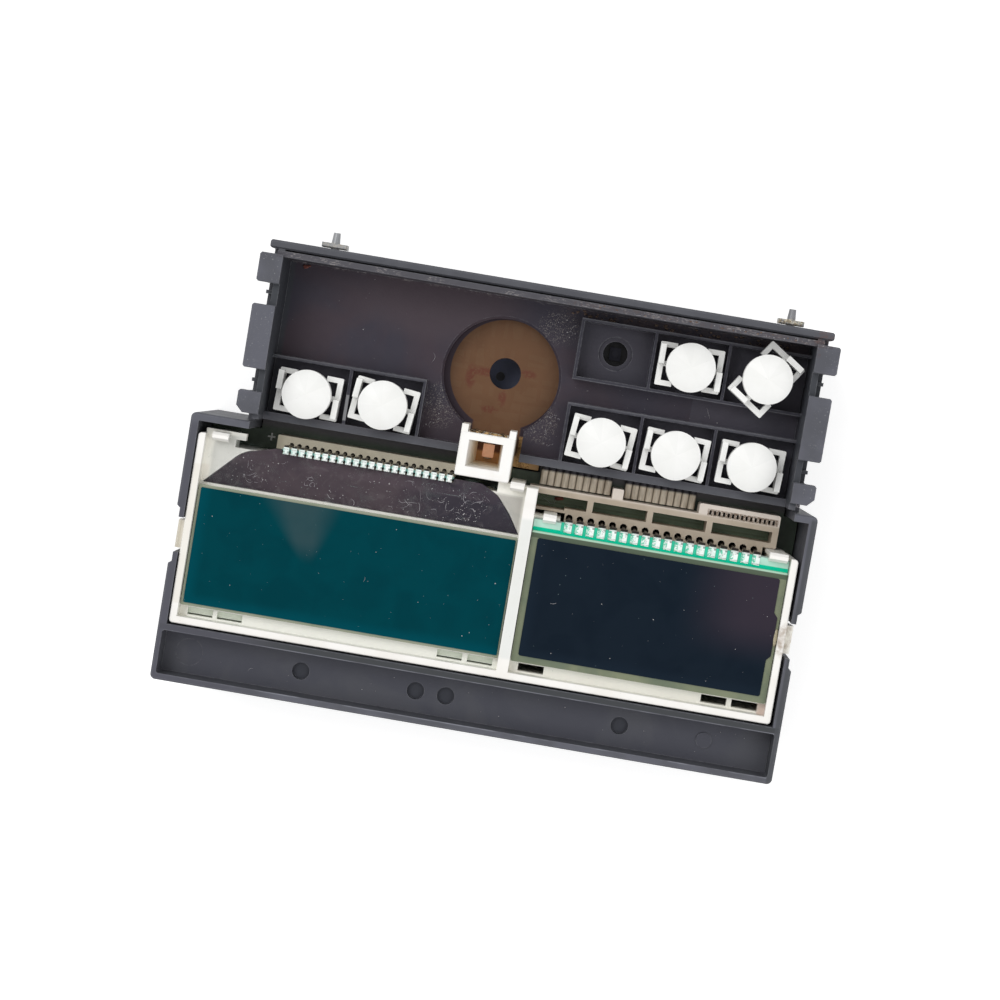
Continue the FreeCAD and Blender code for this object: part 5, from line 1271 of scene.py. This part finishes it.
@dataclass
class Displays:
    """Carrier, light windows, glasses and films of the two displays."""

    carrier: Finish = CarrierFinish(
        "carrier_white", paint(254, 252, 248), paint(248, 245, 239), rough=0.42, grain=0.12,
        specular=0.3, wear_and_highlight=paint(255, 254, 252), areas=(
            # Painted light: the lower ledge is lifted lighter.
            Area((-66.0, 5.6), (14.0, 18.4), paint(255, 255, 248), 0.9, LEDGE, 0.3),
            Area((-66.0, -57.0), (46.0, 57.5), paint(212, 212, 206), 1.0, LEDGE, 0.6),
            Area((-1.5, 5.6), (46.0, 54.5), paint(188, 185, 178), 1.0, LEDGE, 0.6),
            # Painted light: the ledge's pockets are lifted lighter.
            Area((-66.0, 5.0), (15.4, 17.3), paint(222, 228, 215), 1.0, (27.6, 27.2)),
            Area((65.6, 67.4), (14.9, 17.3), paint(214, 184, 170), 0.6, LEDGE, 0.2),
            # Painted shade: the left lug, lower than the rim, is darkened to cream.
            Area((-75.0, -69.4), (29.0, 38.0), paint(206, 198, 180), 0.9),
            Area((5.9, 8.5), (18.0, 50.0), paint(226, 230, 227), 0.6, soft=0.5),
            Area((-70.0, -66.0), (18.0, 50.0), paint(238, 233, 222), 0.6, soft=0.3)))
    diffuser: Finish = Finish(
        "milky_sheet", paint(228, 232, 228), paint(218, 223, 219), rough=0.35, grain=0.05)
    shield: Finish = ShieldFinish(
        "shield_dark", paint(78, 69, 74), paint(71, 63, 69), rough=0.25, grain=0.08, specular=0.04)
    left_rear: Finish = GlassFinish(
        "left_rear_glass", paint(120, 196, 186), paint(96, 176, 168), rough=0.12, grain=0.0,
        specular=0.06, clear=0.0, sealed=0.3, seal=(-50.2, -10.8, 56.0, 57.0))
    left_front: Finish = GlassFinish(
        "left_front_glass", paint(152, 156, 138), paint(140, 148, 128), rough=0.15, grain=0.0,
        specular=0.06, clear=0.9, sealed=0.95, seal=(-70.0, 10.0, 10.0, 60.0))
    right_rear: Finish = GlassFinish(
        "right_rear_glass", paint(206, 242, 228), paint(184, 230, 212), rough=0.12, grain=0.0,
        specular=0.06, clear=0.5, sealed=0.85, seal=(8.0, 68.0, 46.0, 50.3),
        bands=((47.7, 48.6, paint(10, 206, 166)),))
    right_front: Finish = GlassFinish(
        "right_front_glass", paint(132, 138, 114), paint(112, 122, 104), rough=0.15, grain=0.0,
        specular=0.06, clear=0.9, sealed=0.95, seal=(5.0, 70.0, 10.0, 60.0),
        bands=((46.2, 47.25, paint(88, 100, 84)), (47.3, 47.8, paint(176, 210, 188))))
    teal: Finish = FilmFinish(
        "teal_film", paint(0, 64, 73), paint(0, 59, 68), rough=0.1, grain=0.02, specular=0.02,
        reflected_haze=paint(62, 82, 86), rim=paint(0, 74, 86), box=(-66.6, 5.4, 18.3, 44.8),
        beam=(31.0, 44.8, -40.6, -43.6, 1.5, 9.5, 0.6))
    dark: Finish = FilmFinish(
        "dark_film", paint(24, 34, 45), paint(21, 31, 42), rough=0.1, grain=0.02, specular=0.02,
        reflected_haze=paint(56, 50, 60), rim=paint(27, 38, 50), box=(10.4, 65.3, 19.2, 46.2),
        wash=(43.0, 60.0, 25.0, 36.0, 0.95))

    def build(self) -> None:
        """Dresses the pack."""
        dress(self.carrier, Slot.WHITE, "lcd_carrier")
        dress(self.diffuser, Slot.MILKY, "left_diffuser", "right_diffuser")
        dress(self.shield, Slot.DARK, "left_light_shield")
        dress(self.left_rear, Slot.GLASS, "left_lcd_rear_glass")
        dress(self.left_front, Slot.GLASS, "left_lcd_front_glass")
        dress(self.right_rear, Slot.GLASS, "right_lcd_rear_glass")
        dress(self.right_front, Slot.GLASS, "right_lcd_front_glass")
        dress(self.teal, Slot.TEAL, "left_lcd_film")
        dress(self.dark, Slot.DARK, "right_lcd_film")
        seal = Shape()
        seal.lump((66.72, 32.9, 30.3), (0.42, 2.0, 0.3), random.Random(3), 0.12, 3, 30.18)
        seal.piece("filling_port_seal", Slot.GLASS, Finish(
            "seal_resin", paint(186, 176, 148), paint(160, 150, 122), rough=0.3, grain=0.2, coat=0.4))


@dataclass
class Contacts:
    """Clip pins, the strips that they stand in and the jumper ribbons."""

    left_tin: Finish = PinFinish(
        "left_pin_tin", paint(250, 255, 252), paint(226, 240, 234), rough=0.3, metal=0.2, grain=0.3,
        grain_scale=2.5, row=LEFT_ROW, waist=55.75, tint=paint(186, 222, 212), lean=0.4,
        hole_shade_start=56.82, dark=0.3)
    right_tin: Finish = PinFinish(
        "right_pin_tin", paint(250, 255, 252), paint(228, 244, 238), rough=0.3, metal=0.2, grain=0.3,
        grain_scale=2.5, row=RIGHT_ROW, waist=50.2, tint=paint(30, 188, 150), lean=0.5,
        hole_shade_start=50.72, dark=0.32)
    left_track: Finish = Finish(
        "track_turquoise", paint(96, 150, 142), paint(70, 116, 110), rough=0.3, grain=0.1)
    right_track: Finish = Finish(
        "track_emerald", paint(30, 186, 148), paint(60, 206, 172), rough=0.3, grain=0.1)
    # Partly painted highlight: the solder's bright white stands in for glints.
    solder_and_glint: Finish = Finish(
        "solder_glint_white", paint(246, 248, 246), paint(220, 228, 224), rough=0.25, metal=0.2, grain=0.3)
    strip: Finish = Finish(
        "strip_beige", paint(198, 190, 170), paint(184, 176, 156), rough=0.5, grain=0.2,
        wear_and_highlight=paint(208, 202, 186), dust=0.12)
    pin_frame: Finish = FrameFinish(
        "frame_beige", paint(194, 180, 162), paint(184, 169, 150), rough=0.5, grain=0.2,
        wear_and_highlight=paint(216, 208, 194), dust=0.1, raised=paint(226, 215, 204),
        slots=(47.6, 64.0, 57.1, 58.6), dirt=paint(94, 68, 42))
    ribbon: Finish = RibbonFinish(
        "ribbon_beige", paint(236, 224, 204), paint(214, 202, 182), rough=0.55, grain=0.3,
        groove=paint(104, 92, 82))

    def build(self) -> None:
        """Dresses the contact rows and adds the glass tracks, crimps and solder lumps that stand in
        partly for glints.
        """
        dress(self.left_tin, Slot.METAL, "left_pins")
        dress(self.right_tin, Slot.METAL, "right_pins")
        self.tracks("left_glass_tracks", self.left_track, LEFT_ROW, 1, 0.4, (56.0, 56.42))
        self.tracks("right_glass_tracks", self.right_track, RIGHT_ROW, 0, 0.7, (48.4, 50.5))
        self.crimps("left_crimps", LEFT_ROW, 0.95, (55.25, 56.3), 0.26)
        self.crimps("right_crimps", RIGHT_ROW, 1.6, (48.45, 50.4), 0.26)
        self.blobs()
        dress(self.strip, Slot.BEIGE, "left_pin_strip")
        dress(self.pin_frame, Slot.BEIGE, "right_pin_frame")
        dress(self.ribbon, Slot.BEIGE, "jumper_ribbon_left", "jumper_ribbon_right")

    def tracks(self, name: str, finish: Finish, row: Row, start: int, width: float,
               ends: tuple[float, float]) -> None:
        """Printed tracks on the glass ledge, each in the gap before a pin.

        Args:
            name: The piece's name.
            finish: Its finish.
            row: The row of pins.
            start: The number of the first pin that has a track before it.
            width: A track's width.
            ends: A track's two ends along Y.
        """
        shape = Shape()
        for number in range(start, row.count):
            x = row.middle(number - 0.5)
            shape.block((x - width / 2, x + width / 2), ends, GLASS_LEDGE, 0.04, 0.015)
        shape.piece(name, Slot.TEAL, finish, smooth=False)

    def crimps(self, name: str, row: Row, width: float, places: tuple[float, ...],
               length: float) -> None:
        """Raised folds across each pin.

        Args:
            name: The piece's name.
            row: The row of pins.
            width: A fold's width.
            places: Where the folds lie along Y.
            length: A fold's length along Y.
        """
        shape = Shape()
        for number in range(row.count):
            x = row.middle(number)
            for y in places:
                shape.block((x - width / 2, x + width / 2), (y, y + length), PIN_TOP, 0.12, 0.04)
        shape.piece(name, Slot.METAL, self.solder_and_glint)

    def blobs(self) -> None:
        """Small bright lumps of solder on the right pins, their white partly a painted glint."""
        rng = random.Random(5)
        shape = Shape()
        for number in range(RIGHT_ROW.count):
            for _ in range(3):
                reach = rng.uniform(0.12, 0.26)
                x = RIGHT_ROW.middle(number) + rng.uniform(-0.5, 0.55)
                shape.lump((x, rng.uniform(49.1, 50.5), PIN_TOP + SINK), (reach, reach * 1.3, 0.09),
                           rng, 0.2, 1, PIN_TOP)
        shape.piece("right_pin_solder_glints", Slot.METAL, self.solder_and_glint)


@dataclass
class LightBox:
    """White box round the light beside the knob opening."""

    finish: Finish = BoxFinish(
        "light_box_white", paint(254, 253, 250), paint(246, 242, 236), rough=0.4, grain=0.12,
        wear_and_highlight=paint(255, 255, 252), well=paint(255, 246, 224))
    # Painted light: the light's resin glows by itself.
    light: Finish = GlowFinish(
        "led_resin", paint(214, 166, 132), paint(200, 148, 116), rough=0.35, grain=0.1, glow=0.42)
    glue: Finish = Finish(
        "glue_yellow", paint(190, 156, 104), paint(160, 124, 78), rough=0.35, grain=0.2, coat=0.3)
    dirt: Finish = Finish(
        "lint_brown", paint(84, 66, 44), paint(44, 40, 34), rough=0.9, grain=0.4)
    metal: Finish = Finish(
        "led_terminal_tin", paint(210, 208, 200), paint(180, 178, 170), rough=0.3, metal=0.8, grain=0.2)

    def build(self) -> None:
        """Dresses the box and its light and adds terminals and old glue."""
        dress(self.finish, Slot.WHITE, "light_box")
        dress(self.light, Slot.LED, "light_box_led")
        ends = Shape()
        for y in (61.1, 64.52):
            ends.block((-5.5, -3.7), (y, y + 0.38), BOARD_TOP, 0.7, 0.06)
        ends.piece("light_box_led_terminals", Slot.METAL, self.metal)
        rng = random.Random(7)
        beads = Shape()
        for _ in range(16):
            reach = rng.uniform(0.18, 0.42)
            at = (rng.uniform(-9.0, -0.4), 67.3 + rng.uniform(0.0, 0.25), rng.uniform(28.8, 30.3))
            beads.lump(at, (reach * 1.6, reach, reach), rng, 0.25, 1)
        beads.piece("box_glue", Slot.BEIGE, self.glue)
        lint = Shape()
        for _ in range(34):
            at = (rng.uniform(-9.2, -0.3), 67.5 + rng.uniform(0.0, 0.35), rng.uniform(29.4, 30.6))
            heading, path = rng.uniform(-0.9, 0.9), [Vector(at)]
            for _ in range(6):
                heading += rng.uniform(-0.8, 0.8)
                step = Vector((math.cos(heading) * 0.22, math.sin(heading) * 0.12, 0.0))
                path.append(path[-1] + step)
            lint.strand(path, rng.uniform(0.1, 0.24))
        lint.piece("box_lint", Slot.BEIGE, self.dirt)


@dataclass
class LightGuides:
    """Seven clip-in light guides, one of them turned.

    Attributes:
        turns: How far each guide is turned, in degrees.
    """

    turns: dict[str, float] = field(default_factory=lambda: {
        "light_guide_upper_middle": 0.0, "light_guide_upper_right": 56.0,
        "light_guide_left_outer": -2.0, "light_guide_left_inner": -6.4,
        "light_guide_lower_left": -5.5, "light_guide_lower_middle": -3.5,
        "light_guide_lower_right": -2.0})

    def build(self) -> None:
        """Dresses each guide round its own middle."""
        for name, turn in self.turns.items():
            low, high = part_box(name)
            middle = (low + high) / 2 / MM
            finish = GuideFinish(
                name + "_white", paint(255, 255, 253), paint(250, 250, 247), rough=0.38, grain=0.1,
                specular=0.3, at=(middle.x, middle.y + MID_Y), turn=turn)
            dress(finish, Slot.WHITE, name)


@dataclass(frozen=True)
class Bed:
    """A flat area where dust has settled.

    Attributes:
        x: Its two ends along X.
        y: Its two ends along Y.
        z: Its height.
        flecks: How many flecks lie on it.
        fibres: How many fibres lie on it.
    """

    x: tuple[float, float]
    y: tuple[float, float]
    z: float
    flecks: int
    fibres: int


@dataclass
class Dust:
    """Flecks and fibres on the displays, in the tray and in the first board window.

    Attributes:
        beds: The dusty areas.
        seed: Start of the drawing.
    """

    beds: tuple[Bed, ...] = (
        Bed((-25.0, -2.0), (46.2, 54.0), GLASS_LEDGE, 130, 22),
        Bed((-9.0, -2.0), (47.0, 53.5), GLASS_LEDGE, 60, 9),
        Bed((-62.0, -52.0), (46.2, 53.0), GLASS_LEDGE, 50, 3),
        Bed((-58.0, -53.5), (47.8, 50.0), GLASS_LEDGE, 20, 6),
        Bed((-44.0, -41.0), (49.0, 51.2), GLASS_LEDGE, 8, 5),
        Bed((-52.0, -25.0), (46.0, 53.6), GLASS_LEDGE, 60, 4),
        Bed((-66.0, 5.0), (19.0, 44.0), FILM_TOP, 40, 1),
        Bed((11.5, 64.5), (20.0, 45.5), FILM_TOP, 36, 1),
        Bed((8.2, 14.5), (53.3, 55.5), BOARD_TOP, 14, 9),
        Bed((-20.5, -17.0), (66.0, 76.0), TRAY_FLOOR, 34, 3),
        Bed((7.5, 10.5), (66.5, 74.0), TRAY_FLOOR, 34, 3),
        Bed((5.0, 11.0), (92.0, 97.0), TRAY_FLOOR, 34, 3),
        Bed((-55.0, -20.0), (79.0, 98.0), TRAY_FLOOR, 14, 1),
        Bed((12.0, 62.0), (78.0, 82.5), TRAY_FLOOR, 14, 1),
        Bed((10.0, 60.0), (99.2, 100.1), RAIL_TOP, 26, 8),
        Bed((-66.0, 66.0), (3.0, 10.0), CHANNEL_FLOOR, 26, 1))
    seed: int = 23

    def build(self) -> None:
        """Scatters the flecks and lays the fibres."""
        rng = random.Random(self.seed)
        flecks, fibres = Shape(), Shape()
        for bed in self.beds:
            for _ in range(bed.flecks):
                reach = 0.035 + 0.1 * rng.random() ** 4
                at = (rng.uniform(*bed.x), rng.uniform(*bed.y), bed.z)
                radii = (reach * rng.uniform(0.8, 1.5), reach, reach * 0.6)
                flecks.lump(at, radii, rng, 0.3, 1, bed.z - 0.005)
            for _ in range(bed.fibres):
                fibres.strand(self.path(rng, bed), rng.uniform(0.04, 0.075))
        flecks.piece("dust_flecks", Slot.WHITE, Finish(
            "dust_grey", paint(206, 204, 204), paint(156, 154, 156), rough=0.9, grain=0.3))
        fibres.piece("dust_fibres", Slot.WHITE, Finish(
            "fibre_pale", paint(206, 204, 208), paint(150, 146, 152), rough=0.8, grain=0.2))

    def path(self, rng: random.Random, bed: Bed) -> list[Vector]:
        """A gently bent line that stays on its bed.

        Args:
            rng: Where the bends are drawn from.
            bed: The bed.

        Returns:
            The line's points.
        """
        at = Vector((rng.uniform(*bed.x), rng.uniform(*bed.y), bed.z + 0.05))
        heading, bend = rng.uniform(0, 2 * math.pi), rng.uniform(-0.35, 0.35)
        step = rng.uniform(0.12, 0.34)
        points = [at.copy()]
        for _ in range(9):
            heading += bend + rng.uniform(-0.15, 0.15)
            at = at + Vector((math.cos(heading), math.sin(heading), 0.0)) * step
            at.x = min(max(at.x, bed.x[0]), bed.x[1])
            at.y = min(max(at.y, bed.y[0]), bed.y[1])
            points.append(at.copy())
        return points


def main() -> None:
    """Builds the module's looks in order."""
    logging.basicConfig(level=logging.INFO, format="%(name)s: %(message)s")
    for kind in (Studio, Housing, Boards, Displays, Contacts, LightBox, LightGuides, Dust):
        LOG.info("building %s", kind.__name__)
        kind().build()


if __name__ == "__main__":
    main()
